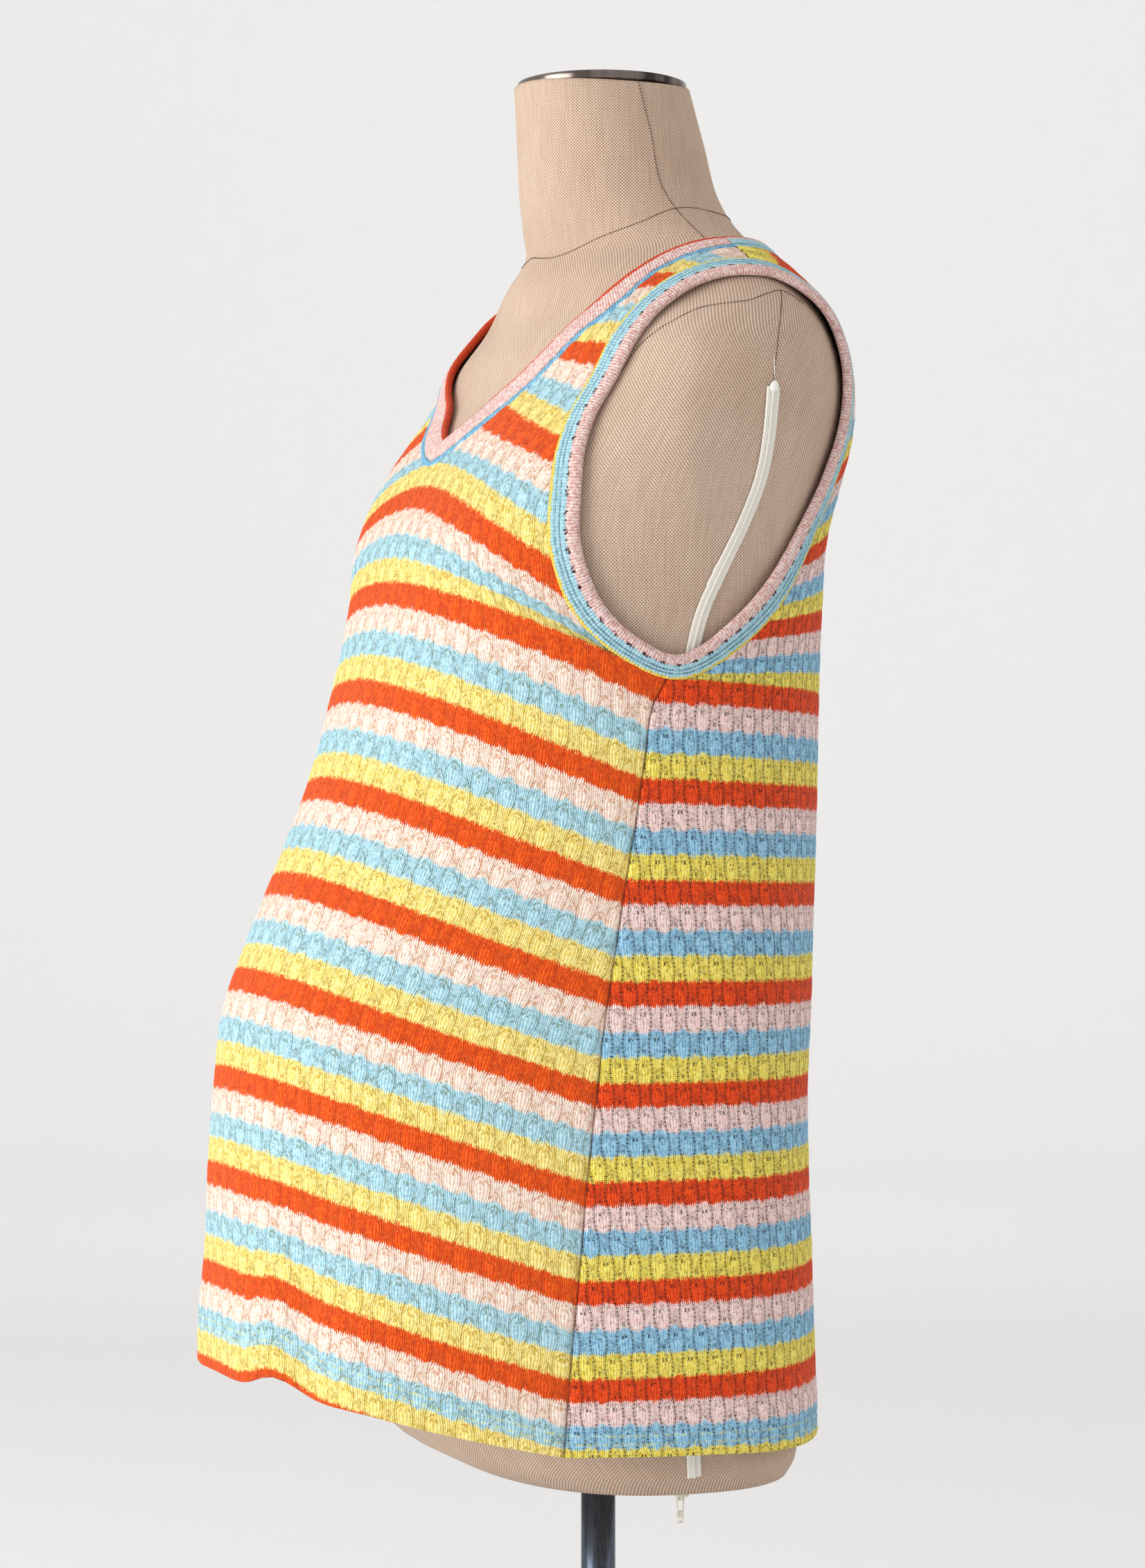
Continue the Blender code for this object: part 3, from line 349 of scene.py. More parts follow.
# The edge of the form's flat arm plate. Columns: height and angle in degrees.
PLATE_EDGE = ((0.770, 86.0), (0.804, 79.6), (0.833, 72.7), (0.863, 67.2), (0.887, 65.2), (0.915, 61.0))
PLATE_RISE = 0.0052
PLATE_SPREAD = 15.0
# How far the ridge runs past its edge's two ends, and over what height it fades there.
PLATE_PAST = (0.02, 0.01)
PLATE_FADE = (0.05, 0.035)
# The cap's width as a share of the neck's. Columns: share of the cap's width, rise.
CAP_SHARE = 0.965
CAP_PROFILE = (
    (0.05, -0.003), (0.97, -0.003), (1.0, -0.0024), (1.005, -0.0012), (1.005, 0.0012),
    (1.0, 0.0022), (0.97, 0.0027), (0.05, 0.0027),
)
# Columns: radius, height.
BASE_PROFILE = (
    (0.002, 0.0), (0.148, 0.0), (0.150, 0.002), (0.150, 0.0085), (0.1485, 0.010), (0.023, 0.010),
    (0.0205, 0.0115), (0.0190, 0.030), (0.0175, 0.0315), (0.002, 0.0315),
)
BASE_ROUND = 0.0012

STAGE_FLOOR = 4.0
STAGE_SWEEP = 2.0
STAGE_WALL = 5.0
STAGE_COLOUR = (0.89, 0.888, 0.888, 1.0)
WORLD_COLOUR = (1.0, 0.99, 0.98, 1.0)
WORLD_STRENGTH = 0.81
LIGHT_AIM = 0.65
# Columns: name, turn and rise in degrees, distance, size, power, colour, and if it looks outward.
LIGHTS = (
    ("key", 8.0, 8.0, 2.6, 1.8, 60.0, (1.0, 0.99, 0.97), False),
    ("fill", 140.0, 12.0, 2.8, 2.0, 6.0, (1.0, 0.99, 0.98), False),
    ("wall", 247.0, 45.0, 3.0, 2.4, 22.0, (0.98, 0.99, 1.0), True),
)

CAMERA_TURN = 67.0
CAMERA_DISTANCE = 2.16
CAMERA_SIDE = -0.015
CAMERA_HEIGHT = 0.649
CAMERA_LENS = 85.0
CAMERA_SENSOR = 36.0


def curve_through(xs, ys, x):
    """The smooth curve through the points (xs, ys), read at x."""
    xs, ys, x = (np.asarray(v, float) for v in (xs, ys, x))
    slopes = np.gradient(ys, xs)
    i = np.clip(np.searchsorted(xs, x, side="right") - 1, 0, len(xs) - 2)
    step = xs[i + 1] - xs[i]
    s = np.clip((x - xs[i]) / step, 0, 1)
    rise = (1 + 2 * s) * (1 - s) ** 2 * ys[i] + s * s * (3 - 2 * s) * ys[i + 1]
    return rise + step * s * (1 - s) * ((1 - s) * slopes[i] - s * slopes[i + 1])


def on_section(table, angle, height, out=0.0):
    """The place on a loft at an angle and a height, pushed out sideways by a distance."""
    rows = np.asarray(table, float)
    angle, height = np.broadcast_arrays(np.asarray(angle, float), np.asarray(height, float))
    width, front, back, middle, square_f, square_b = (
        curve_through(rows[:, 0], rows[:, k], height) for k in range(1, 7)
    )
    s, c = np.sin(angle), np.cos(angle)
    depth = np.where(c > 0, front, back)
    square = np.where(c > 0, square_f, square_b)
    reach = (np.abs(s) ** square + np.abs(c) ** square) ** (-1 / square)
    across = (width + out) * s * reach
    along = middle - (depth + out) * c * reach
    return np.stack([across, along, height], axis=-1)


def fold_shape(angle, height):
    """How far the soft folds push the cloth outwards and lift it at a place."""
    turn = np.degrees(np.abs(angle))
    push = np.zeros(np.broadcast(turn, height).shape)
    lift = np.zeros(push.shape)
    for middle, spread, top, depth, climb in FOLDS:
        fade = np.clip((top - height) / (top - FOLD_BOTTOM), 0, 1)
        fade = fade * fade * (3 - 2 * fade) * np.exp(-(((turn - middle) / spread) ** 2))
        push = push + depth * fade
        lift = lift + climb * fade
    return push, lift


def on_cloth(angle, height):
    """The place on the cloth's inner face."""
    return on_section(CLOTH_SECTIONS, angle, height, fold_shape(angle, height)[0])


def plate_ridge(angle, height):
    """How far the form's arm plate stands out along its front edge."""
    rows = np.asarray(PLATE_EDGE)
    away = (np.degrees(np.abs(angle)) - curve_through(rows[:, 0], rows[:, 1], height)) / PLATE_SPREAD
    low = np.clip((height - rows[0, 0] + PLATE_PAST[0]) / PLATE_FADE[0], 0, 1)
    high = np.clip((rows[-1, 0] + PLATE_PAST[1] - height) / PLATE_FADE[1], 0, 1)
    fade = low * low * (3 - 2 * low) * high * high * (3 - 2 * high)
    return PLATE_RISE * fade * np.exp(0.15 - np.sqrt(away * away + 0.0225))


def on_form(angle, height):
    """The place on the dress form."""
    return on_section(FORM_SECTIONS, angle, height, plate_ridge(angle, height))


def slopes_of(surface, angle, height):
    """How the surface moves with the angle and with the height."""
    step = 1e-4
    by_angle = (surface(angle + step, height) - surface(angle - step, height)) / (2 * step)
    by_height = (surface(angle, height + step) - surface(angle, height - step)) / (2 * step)
    return by_angle, by_height


def lifted(surface, angle, height, lift):
    """The place a distance off the surface, square to it."""
    by_angle, by_height = slopes_of(surface, angle, height)
    normal = np.cross(by_angle, by_height)
    normal /= np.linalg.norm(normal, axis=-1, keepdims=True)
    return surface(angle, height) + normal * np.asarray(lift)[..., None]


def sideways(surface, angle, height, closed=False):
    """The direction in the surface, square to a path, on the right of someone walking along it."""
    place = surface(angle, height)
    if closed:
        along = np.roll(place, -1, axis=0) - np.roll(place, 1, axis=0)
    else:
        along = np.gradient(place, axis=0)
    by_angle, by_height = slopes_of(surface, angle, height)
    side = np.cross(along, np.cross(by_angle, by_height))
    return side / np.linalg.norm(side, axis=-1, keepdims=True)


def moved(surface, angle, height, distance, closed=False, steps=6):
    """A path moved sideways within the surface, in small steps so that it stays on it."""
    for _ in range(steps):
        side = sideways(surface, angle, height, closed) * distance / steps
        by_angle, by_height = slopes_of(surface, angle, height)
        aa = (by_angle * by_angle).sum(-1)
        hh = (by_height * by_height).sum(-1)
        ah = (by_angle * by_height).sum(-1)
        sa = (side * by_angle).sum(-1)
        sh = (side * by_height).sum(-1)
        whole = aa * hh - ah * ah
        angle = angle + (sa * hh - sh * ah) / whole
        height = height + (sh * aa - sa * ah) / whole
    return angle, height


def way_along(place, axis=0):
    """Distances along a line of places, or along each line of a grid, from its first place."""
    steps = np.linalg.norm(np.diff(place, axis=axis), axis=-1)
    return np.insert(np.cumsum(steps, axis=axis), 0, 0, axis=axis)


def smooth_line(table, count, closed=False, surface=on_cloth):
    """A smooth line of many places on a surface, from a table of angles in degrees and heights."""
    rows = np.asarray(table, float)
    angles, heights = np.radians(rows[:, 0]), rows[:, 1]
    if closed:
        angles = np.concatenate([angles[-3:], angles, angles[:3]])
        heights = np.concatenate([heights[-3:], heights, heights[:3]])
    way = way_along(surface(angles, heights))
    first, last = (way[3], way[-3]) if closed else (way[0], way[-1])
    at = np.linspace(first, last, count, endpoint=not closed)
    return curve_through(way, angles, at), curve_through(way, heights, at)


def evenly(angle, height, share):
    """Places at shares from 0 to 1 of the length of a line on the cloth."""
    way = way_along(on_cloth(angle, height))
    return tuple(np.interp(share, way / way[-1], v) for v in (angle, height))


def armhole_lines():
    """The armhole's folded edge and its seam, matched place by place, from the underarm round."""
    fold_angle, fold_height = smooth_line(ARM_EDGE, ARM_LINE_COUNT, closed=True)
    # The band narrows under the arm.
    grow = np.clip((fold_height - UNDERARM_TOP) / UNDERARM_RISE, 0, 1)
    width = UNDERARM_BAND_WIDTH + (ARM_BAND_WIDTH - UNDERARM_BAND_WIDTH) * grow
    seam_angle, seam_height = moved(on_cloth, fold_angle, fold_height, -width[:, None], closed=True)
    # The underarm is the place where the seam crosses the side seam, low down.
    low = seam_height < UNDERARM_BELOW
    start = int(np.argmin(np.where(low, np.abs(seam_angle - math.radians(UNDERARM_TURN)), 9)))
    turn = [np.roll(v, -start) for v in (fold_angle, fold_height, seam_angle, seam_height)]
    high = turn[3] > SHOULDER_ABOVE
    top = int(np.argmin(np.where(high, np.abs(turn[2] - math.radians(SHOULDER_TURN)), 9)))
    return turn, top


def arm_seam(back):
    """The armhole's seam from the underarm to the shoulder, by the front or the back."""
    lines, top = armhole_lines()
    if back:
        return [np.concatenate([v[:1], v[:top - 1:-1]]) for v in lines[2:]]
    return [v[:top + 1] for v in lines[2:]]


def neck_branch(back):
    """The neck's seam and folded edge from the centre to the shoulder."""
    wanted = []
    for table in (NECK_SEAM, NECK_EDGE):
        angle, height = smooth_line(table, NECK_LINE_COUNT)
        keep = angle >= math.radians(SHOULDER_TURN) - 1e-6
        keep = keep if back else ~keep
        angle, height = angle[keep], height[keep]
        if back:
            angle, height = angle[::-1], height[::-1]
        wanted += [angle, height]
    return wanted


def edge_places(back, inner, outer):
    """The places of a panel's inner and outer stations."""
    seam_angle, seam_height, _, _ = neck_branch(back)
    centre = math.pi if back else 0.0
    hem = CENTRE_HEM_BACK if back else CENTRE_HEM_FRONT
    climb = hem + np.clip(inner, 0, 1) * (seam_height[0] - hem)
    neck = evenly(seam_angle, seam_height, np.clip(inner - 1, 0, 1))
    inner_angle = np.where(inner <= 1, centre, neck[0])
    inner_height = np.where(inner <= 1, climb, neck[1])
    arm_angle, arm_height = arm_seam(back)
    side = np.asarray(SIDE_SEAM, float)
    side[-1] = (math.degrees(arm_angle[0]), arm_height[0])
    climb = side[0, 1] + np.clip(outer, 0, 1) * (side[-1, 1] - side[0, 1])
    arm = evenly(arm_angle, arm_height, np.clip(outer - 1, 0, 1))
    side_angle = np.radians(curve_through(side[:, 1], side[:, 0], climb))
    outer_angle = np.where(outer <= 1, side_angle, arm[0])
    outer_height = np.where(outer <= 1, climb, arm[1])
    return inner_angle, inner_height, outer_angle, outer_height


def fine_rows(back, step):
    """Pattern heights at a panel's outer edge, close together, from the hem to the shoulder."""
    table = np.asarray(BACK_COURSES if back else FRONT_COURSES)
    neck = table[:, 3][np.argmin(np.abs(table[:, 0] - 1))]
    lower = np.linspace(0, neck, round(neck / step) + 1)
    # The back's neck is long for its few courses, so its rows lie closer.
    upper_step = 0.4 * step if back else step
    upper = np.linspace(neck, table[-1, 3], round((table[-1, 3] - neck) / upper_step) + 1)
    edge = HEM_EDGE * np.array(HEM_ROWS)
    return np.concatenate([lower[:1], edge, lower[1:-1], upper]), len(lower) + 2


def panel_grid(back, rows, share):
    """Angles, heights and pattern heights of half a panel, centre first."""
    table = np.asarray(BACK_COURSES if back else FRONT_COURSES)
    inner = np.interp(rows, table[:, 3], table[:, 0])
    outer = np.interp(rows, table[:, 3], table[:, 2])
    pattern = np.interp(rows, table[:, 3], table[:, 1])
    inner_angle, inner_height, outer_angle, outer_height = edge_places(back, inner, outer)
    share = share[None, :]
    # Courses arch like a cosine under the neck and run straight across the strap.
    straight = np.clip((inner - 1) / STRAP_START, 0, 1)[:, None]
    bend = (1 - straight) * np.cos(share * math.pi / 2) + straight * (1 - share)
    angle = inner_angle[:, None] * (1 - share) + outer_angle[:, None] * share
    height = outer_height[:, None] + (inner_height - outer_height)[:, None] * bend
    height = height + fold_shape(angle, height)[1]
    heights = rows[:, None] + (pattern - rows)[:, None] * bend
    return angle, height, heights


def along_courses(place, shared, heights, back):
    """The distance of each place from the centre line along the knit as it was before wearing."""
    across = way_along(place, 1)
    start = np.zeros(len(place))
    for j in range(shared + 1, len(place)):
        out = place[j, 1] - place[j, 0]
        start[j] = start[j - 1] + (place[j, 0] - place[j - 1, 0]) @ out / np.linalg.norm(out)
    across = across + start[:, None]
    if back:
        return across
    stretch = np.asarray(FRONT_STRETCH)
    return across / np.interp(heights, stretch[:, 0], stretch[:, 1])


def oval_relief(u, v):
    """How far the knit stands out: it sinks at the ladders and bulges most over the ovals."""
    q = 2 * math.pi * u / OVAL_PITCH
    rows = np.sin(math.pi * (v - FIRST_RED_TOP) / STRIPE)
    q = q - math.pi * OVAL_SWELL * rows * np.sin(q)
    return RELIEF * (0.5 + 0.5 * np.cos(2 * q) + 0.4 * np.cos(q) * rows)


def pairs(u, v):
    """The two coordinates of a map, place by place."""
    return np.stack([u, v], axis=-1).reshape(-1, 2)


def mesh_piece(name, verts, faces, maps=None):
    """A smooth mesh object, with each map given by one pair of numbers for each vertex."""
    mesh = bpy.data.meshes.new(name)
    mesh.from_pydata(np.asarray(verts).reshape(-1, 3).tolist(), [], faces)
    for label, values in (maps or {}).items():
        corner = np.zeros(len(mesh.loops), np.int32)
        mesh.loops.foreach_get("vertex_index", corner)
        layer = mesh.uv_layers.new(name=label)
        layer.data.foreach_set("uv", np.asarray(values, np.float32)[corner].ravel())
    mesh.polygons.foreach_set("use_smooth", np.ones(len(mesh.polygons), bool))
    mesh.update()
    thing = bpy.data.objects.new(name, mesh)
    bpy.context.scene.collection.objects.link(thing)
    return thing


def grid_faces(rows, columns, first=0, flip=False):
    """Faces of a grid of vertices that are numbered row by row."""
    j, i = np.meshgrid(np.arange(rows - 1), np.arange(columns - 1), indexing="ij")
    start = j * columns + i
    corners = [start, start + 1, start + columns + 1, start + columns]
    faces = first + np.stack([c.ravel() for c in corners], axis=-1)
    return (faces[:, ::-1] if flip else faces).tolist()


def tube_faces(first, rings, sides):
    """Faces of a closed tube whose vertices are numbered ring by ring."""
    faces = []
    for j in range(rings - 1):
        a, b = first + j * sides, first + (j + 1) * sides
        for k in range(sides):
            m = (k + 1) % sides
            faces.append([a + k, a + m, b + m, b + k])
    faces.append([first + k for k in range(sides)][::-1])
    faces.append([first + (rings - 1) * sides + k for k in range(sides)])
    return faces


def weld(thing, reach=0.00003):
    """Joins the vertices that lie on each other, such as along a centre line."""
    work = bmesh.new()
    work.from_mesh(thing.data)
    bmesh.ops.remove_doubles(work, verts=work.verts, dist=reach)
    work.to_mesh(thing.data)
    work.free()


def half_panel(back, step, columns):
    """One half's outer and inner places and knit map, with a rounded hem and a sunk side seam."""
    rows, shared = fine_rows(back, step)
    share = np.concatenate([np.linspace(0, SEAM_COLUMNS[0], columns), SEAM_COLUMNS[1:]])
    angle, height, v = panel_grid(back, rows, share)
    u = along_courses(on_cloth(angle, height), shared, v, back)
    swell = HEM_SWELL * np.clip((HEM_DEPTH + HEM_BLEND - v) / (2 * HEM_BLEND), 0, 1)
    stitched = sum(np.exp(-(((v - row) / STITCH_SPREAD) ** 2)) for row in HEM_STITCH_ROWS)
    seam = np.exp(-(((u[:, -1:] - u) / SEAM_SINK_WIDTH) ** 2))
    lift = CLOTH_THICKNESS + swell + oval_relief(u, v) - STITCH_SINK * stitched - SEAM_SINK * seam
    # The edge of the hem is a rounded fold.
    way = np.clip((rows - rows[0]) / HEM_EDGE, 0, 1)[:, None]
    fold = 1 - np.sqrt(1 - (1 - way) ** 2)
    middle = 0.5 * (CLOTH_THICKNESS + HEM_SWELL)
    outer = lifted(on_cloth, angle, height, lift + (middle - lift) * fold)
    inner = lifted(on_cloth, angle, height, middle * fold + 0 * lift)
    return outer, inner, u, v, shared


def cloth_panel(name, back, step, columns):
    """A whole panel: a fine outer face and a coarser inner face, both mapped in metres."""
    outer, inner, u, v, shared = half_panel(back, step, columns)
    last_row, last_column = u.shape[0] - 1, u.shape[1] - 1
    some_rows = np.unique(np.r_[0:last_row:3, 0:5, shared, last_row])
    some_columns = np.unique(np.r_[0:last_column:4, last_column])
    fine, coarse = np.s_[:, :], np.ix_(some_rows, some_columns)
    verts, faces, maps, edges = [], [], [], []
    for side in (1, -1):
        for place, pick in ((outer, fine), (inner, coarse)):
            uu, vv = u[pick], v[pick]
            first = sum(len(x) for x in verts)
            verts.append((place[pick] * (side, 1, 1)).reshape(-1, 3))
            maps.append(pairs(side * uu, vv))
            edges.append(pairs(uu[:, -1:] - uu, vv))
            faces += grid_faces(*uu.shape, first, flip=(side > 0) != (pick is fine))
    layers = {"knit": np.concatenate(maps), "edge": np.concatenate(edges)}
    thing = mesh_piece(name, np.concatenate(verts), faces, layers)
    weld(thing)
    area = 2 * np.abs(np.trapz(u[:, -1] - u[:, 0], v[:, -1]))
    return thing, 2 * u[:, -1].max(), v.max() - v.min(), area


def band_piece(name, fold, seam, profile, width, closed, mirror=False):
    """A band as a closed tube of places, mapped by its length and the way round its section."""
    share, lift, around = np.array(profile).T
    angle, height = (s[:, None] * (1 - share) + f[:, None] * share for s, f in zip(seam, fold))
    place = lifted(on_cloth, angle, height, lift)
    along = way_along(place[:, len(profile) // 2])
    if closed:
        place = np.concatenate([place, place[:1]])
        along = np.append(along, along[-1] + np.linalg.norm(place[-1, 0] - place[-2, 0]))
    u, v = np.meshgrid(along, around * width, indexing="ij")
    if mirror:
        place = place * (-1, 1, 1)
    rows, columns = u.shape
    faces = grid_faces(rows, columns, flip=not mirror)
    if not closed:
        faces += [list(range(columns)), list(range((rows - 1) * columns, rows * columns))[::-1]]
    thing = mesh_piece(name, place, faces, {"knit": pairs(u, v)})
    weld(thing)
    flat_width = 0.5 * np.linalg.norm(np.diff(place, axis=1), axis=-1).sum(axis=1).mean()
    return thing, float(along[-1]), float(flat_width)


def neck_bands():
    """The neckband's front and back lengths, joined above the shoulders."""
    made = []
    share = np.linspace(0, 1, NECK_BAND_COUNT)
    for name, back in (("neckband_front_knit", False), ("neckband_back_knit", True)):
        lines = neck_branch(back)
        centre = 2 * math.pi if back else 0.0
        whole = []
        for k in (0, 2):
            angle, height = evenly(lines[k], lines[k + 1], share)
            angle = np.concatenate([centre - angle[:0:-1], angle])
            whole.append((angle, np.concatenate([height[:0:-1], height])))
        seam, fold = whole
        made.append(band_piece(name, fold, seam, NECK_PROFILE, NECK_BAND_WIDTH, False))
    return made


def arm_bands():
    """Both armhole bands, each one closed ring."""
    lines, _ = armhole_lines()
    shape = (lines[:2], lines[2:], ARM_PROFILE, ARM_BAND_WIDTH, True)
    return [
        band_piece("armhole_band_left_knit", *shape),
        band_piece("armhole_band_right_knit", *shape, mirror=True),
    ]


def fine_form():
    """The padded form, much finer than its solid and with small round edges at its ends."""
    low, high = FORM_SECTIONS[0][0], FORM_SECTIONS[-1][0]
    stops = (low, *FORM_STOPS, high)
    runs = [np.linspace(a, b, count) for a, b, count in zip(stops, stops[1:], FORM_COUNTS)]
    around = np.linspace(-math.pi, math.pi, 2 * FORM_HALF + 1)
    angle, height = np.meshgrid(around, np.unique(np.concatenate(runs)))
    place = on_form(angle, height)
    arc = way_along(place, 1)
    arc = arc - arc[:, FORM_HALF:FORM_HALF + 1]
    v = np.repeat(way_along(place[:, FORM_HALF])[:, None], arc.shape[1], axis=1)
    # The cover is drawn down a little at the sides of the neck.
    near_top = np.clip((height - NECK_DIP_START) / (high - NECK_DIP_START), 0, 1) ** 2
    place[..., 2] -= NECK_DIP * near_top * np.sin(angle) ** 2
    ends = []
    for ring, middle in ((place[:1], (0, FORM_FOOT_Y, low)), (place[-1:], (0, CAP_Y, high))):
        ends.append([np.array(middle) + (ring - middle) * (s, s, 1) for s in END_SHARES])
    place = np.concatenate([*ends[0][::-1], place, *ends[1]])
    extra = len(END_SHARES)
    arc = np.concatenate([np.repeat(arc[:1], extra, 0), arc, np.repeat(arc[-1:], extra, 0)])
    past = np.array(END_WAYS)[:, None]
    v = np.concatenate([v[:1] - past[::-1], v, v[-1:] + past])
    thing = mesh_piece("form_cover", place, grid_faces(*arc.shape), {"weave": pairs(arc, v)})
    weld(thing)
    return thing


def lathe_piece(name, rings):
    """A smooth closed piece through rings of places."""
    rings = np.asarray(rings)
    count, around = rings.shape[:2]
    place = np.concatenate([rings, rings[:, :1]], axis=1)
    top = (count - 1) * (around + 1)
    faces = grid_faces(count, around + 1)
    faces += [list(range(around))[::-1], list(range(top, top + around))]
    u = np.repeat(np.linspace(0, 1, around + 1)[None, :], count, axis=0)
    thing = mesh_piece(name, place, faces, {"ring": pairs(u, place[..., 2])})
    weld(thing, 0.000005)
    return thing


def turned(name, profile, count=128):
    """A piece of revolution about the stand's axis, from radii and heights."""
    t = -np.arange(count) * 2 * math.pi / count
    rings = [np.stack([r * np.sin(t), -r * np.cos(t), h + 0 * t], axis=-1) for r, h in profile]
    return lathe_piece(name, rings)


def rounded(profile, radius, steps=5):
    """A profile with each inner corner replaced by a small arc."""
    out = [profile[0]]
    for before, at, after in zip(profile, profile[1:], profile[2:]):
        before, at, after = (np.array(p, float) for p in (before, at, after))
        one, two = before - at, after - at
        reach = min(radius, 0.45 * np.linalg.norm(one), 0.45 * np.linalg.norm(two))
        one, two = one / np.linalg.norm(one) * reach, two / np.linalg.norm(two) * reach
        for t in np.linspace(0, 1, steps):
            out.append(tuple(at + one * (1 - t) ** 2 + two * t ** 2))
    out.append(profile[-1])
    return out


def cap_piece():
    """The metal disc on the neck, with a soft rim."""
    t = -np.arange(128) * 2 * math.pi / 128
    edge = on_form(t, FORM_SECTIONS[-1][0] + 0 * t)
    middle = np.array([0.0, CAP_Y, 0.0])
    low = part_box("neck_cap")[0][2]
    rings = []
    for share, rise in CAP_PROFILE:
        ring = middle + (edge - middle) * CAP_SHARE * share
        ring[:, 2] = low + rise
        rings.append(ring)
    return lathe_piece("neck_cap_disc", rings)


def stitches(name, lines, length, gap, radius, lift=0.0002, sides=6):
    """Short threads laid end to end along lines on the form, joined as one mesh."""
    verts, faces = [], []
    for angle, height in lines:
        place = lifted(on_form, angle, height, lift)
        way = way_along(place)
        for start in np.arange(0, way[-1] - length, length + gap):
            ends = [
                np.array([np.interp(s, way, place[:, k]) for k in range(3)])
                for s in (start, start + 0.3 * length, start + 0.7 * length, start + length)
            ]
            along = ends[-1] - ends[0]
            along /= np.linalg.norm(along)
            side = np.cross(along, (0.3, 0.5, 0.8))
            side /= np.linalg.norm(side)
            other = np.cross(along, side)
            faces += tube_faces(len(verts), len(ends), sides)
            for end, wide in zip(ends, (0.4, 1.0, 1.0, 0.4)):
                for k in range(sides):
                    t = 2 * math.pi * k / sides
                    verts.append(end + wide * radius * (side * math.cos(t) + other * math.sin(t)))
    return mesh_piece(name, verts, faces)


def zip_stop():
    """The white stop at the top of the zip."""
    height, angle = ZIP_LINE[-1][0], math.radians(ZIP_LINE[-1][1])
    verts, faces = [], []
    low, high = (
        lifted(on_form, np.array([angle]), np.array([height + rise]), STOP_LIFT)[0]
        for rise in STOP_RISES
    )
    bar(verts, faces, low, high, *STOP_SIZE)
    return mesh_piece("zip_top_stop", verts, faces)


def zip_pieces():
    """The zip: two woven tapes, their rolled edges and the coil between them."""
    rows = np.asarray(ZIP_LINE, float)
    heights = np.linspace(rows[0, 0] + ZIP_FOOT, rows[-1, 0], ZIP_COUNT)
    angle = np.radians(curve_through(rows[:, 0], rows[:, 1], heights))
    across, lift = np.array(ZIP_SECTION).T * 0.001
    sides = [moved(on_form, angle, heights, distance, steps=2) for distance in across]
    angles, levels = (np.stack(v, -1) for v in zip(*sides))
    place = lifted(on_form, angles, levels, lift)
    v, u = np.meshgrid(way_along(place[:, len(across) // 2]), across, indexing="ij")
    return mesh_piece("zip_tapes", place, grid_faces(*u.shape), {"zip": pairs(u, v)})


def bar(verts, faces, one, two, wide_one, wide_two, deep, sides=8):
    """Adds a rounded bar between two points; widths are along Y, depth along X."""
    one, two = np.array(one, float), np.array(two, float)
    along = (two - one) / np.linalg.norm(two - one)
    out = np.array([1.0, 0.0, 0.0])
    side = np.cross(along, out)
    ends = ((-0.5, 0.35), (-0.2, 0.85), (0.0, 1.0))
    stops = [(one + along * wide_one * s, wide_one * k, k) for s, k in ends]
    stops += [(two - along * wide_two * s, wide_two * k, k) for s, k in reversed(ends)]
    faces += tube_faces(len(verts), len(stops), sides)
    for place, wide, share in stops:
        for k in range(sides):
            t = 2 * math.pi * (k + 0.5) / sides
            over = side * math.cos(t) * 0.54 * wide
            verts.append(place + over + out * math.sin(t) * 0.54 * deep * share)


def pull_piece():
    """The cream pull: two tapering legs, a top bar in the bail, a web and a foot."""
    low, high = (np.array(v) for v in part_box("zip_pull"))
    x, y = 0.5 * (low[0] + high[0]), 0.5 * (low[1] + high[1])
    top, foot = high[2] - 0.0005, low[2] + 0.0006
    deep = high[0] - low[0]
    verts, faces = [], []
    web = foot + PULL_WEB * (top - foot)
    wide_web = PULL_FOOT + (PULL_TOP - PULL_FOOT) * PULL_WEB
    for side in (-1, 1):
        bar(verts, faces, (x, y + side * PULL_TOP, top - 0.0005),
            (x, y + side * PULL_FOOT, foot + 0.0003), 0.0009, 0.0008, deep)
    cross_bars = [(PULL_TOP, top, 0.0009, deep)]
    cross_bars += [(wide_web, web - rise, 0.0014, 0.8 * deep) for rise in (0.0, 0.0012, 0.0024)]
    cross_bars += [(PULL_FOOT, foot, 0.0011, deep)]
    for wide, z, thick, depth in cross_bars:
        bar(verts, faces, (x, y - wide, z), (x, y + wide, z), thick, thick, depth)
    return mesh_piece("pull_tab", verts, faces)


class Value:
    """A number or a colour in a material. Arithmetic on it adds nodes."""

    def __init__(self, nodes, socket):
        self.nodes = nodes
        self.socket = socket

    def __add__(self, other):
        return self.nodes.math("ADD", self, other)

    def __sub__(self, other):
        return self.nodes.math("SUBTRACT", self, other)

    def __rsub__(self, other):
        return self.nodes.math("SUBTRACT", other, self)

    def __mul__(self, other):
        return self.nodes.math("MULTIPLY", self, other)

    def __abs__(self):
        return self.nodes.math("ABSOLUTE", self)


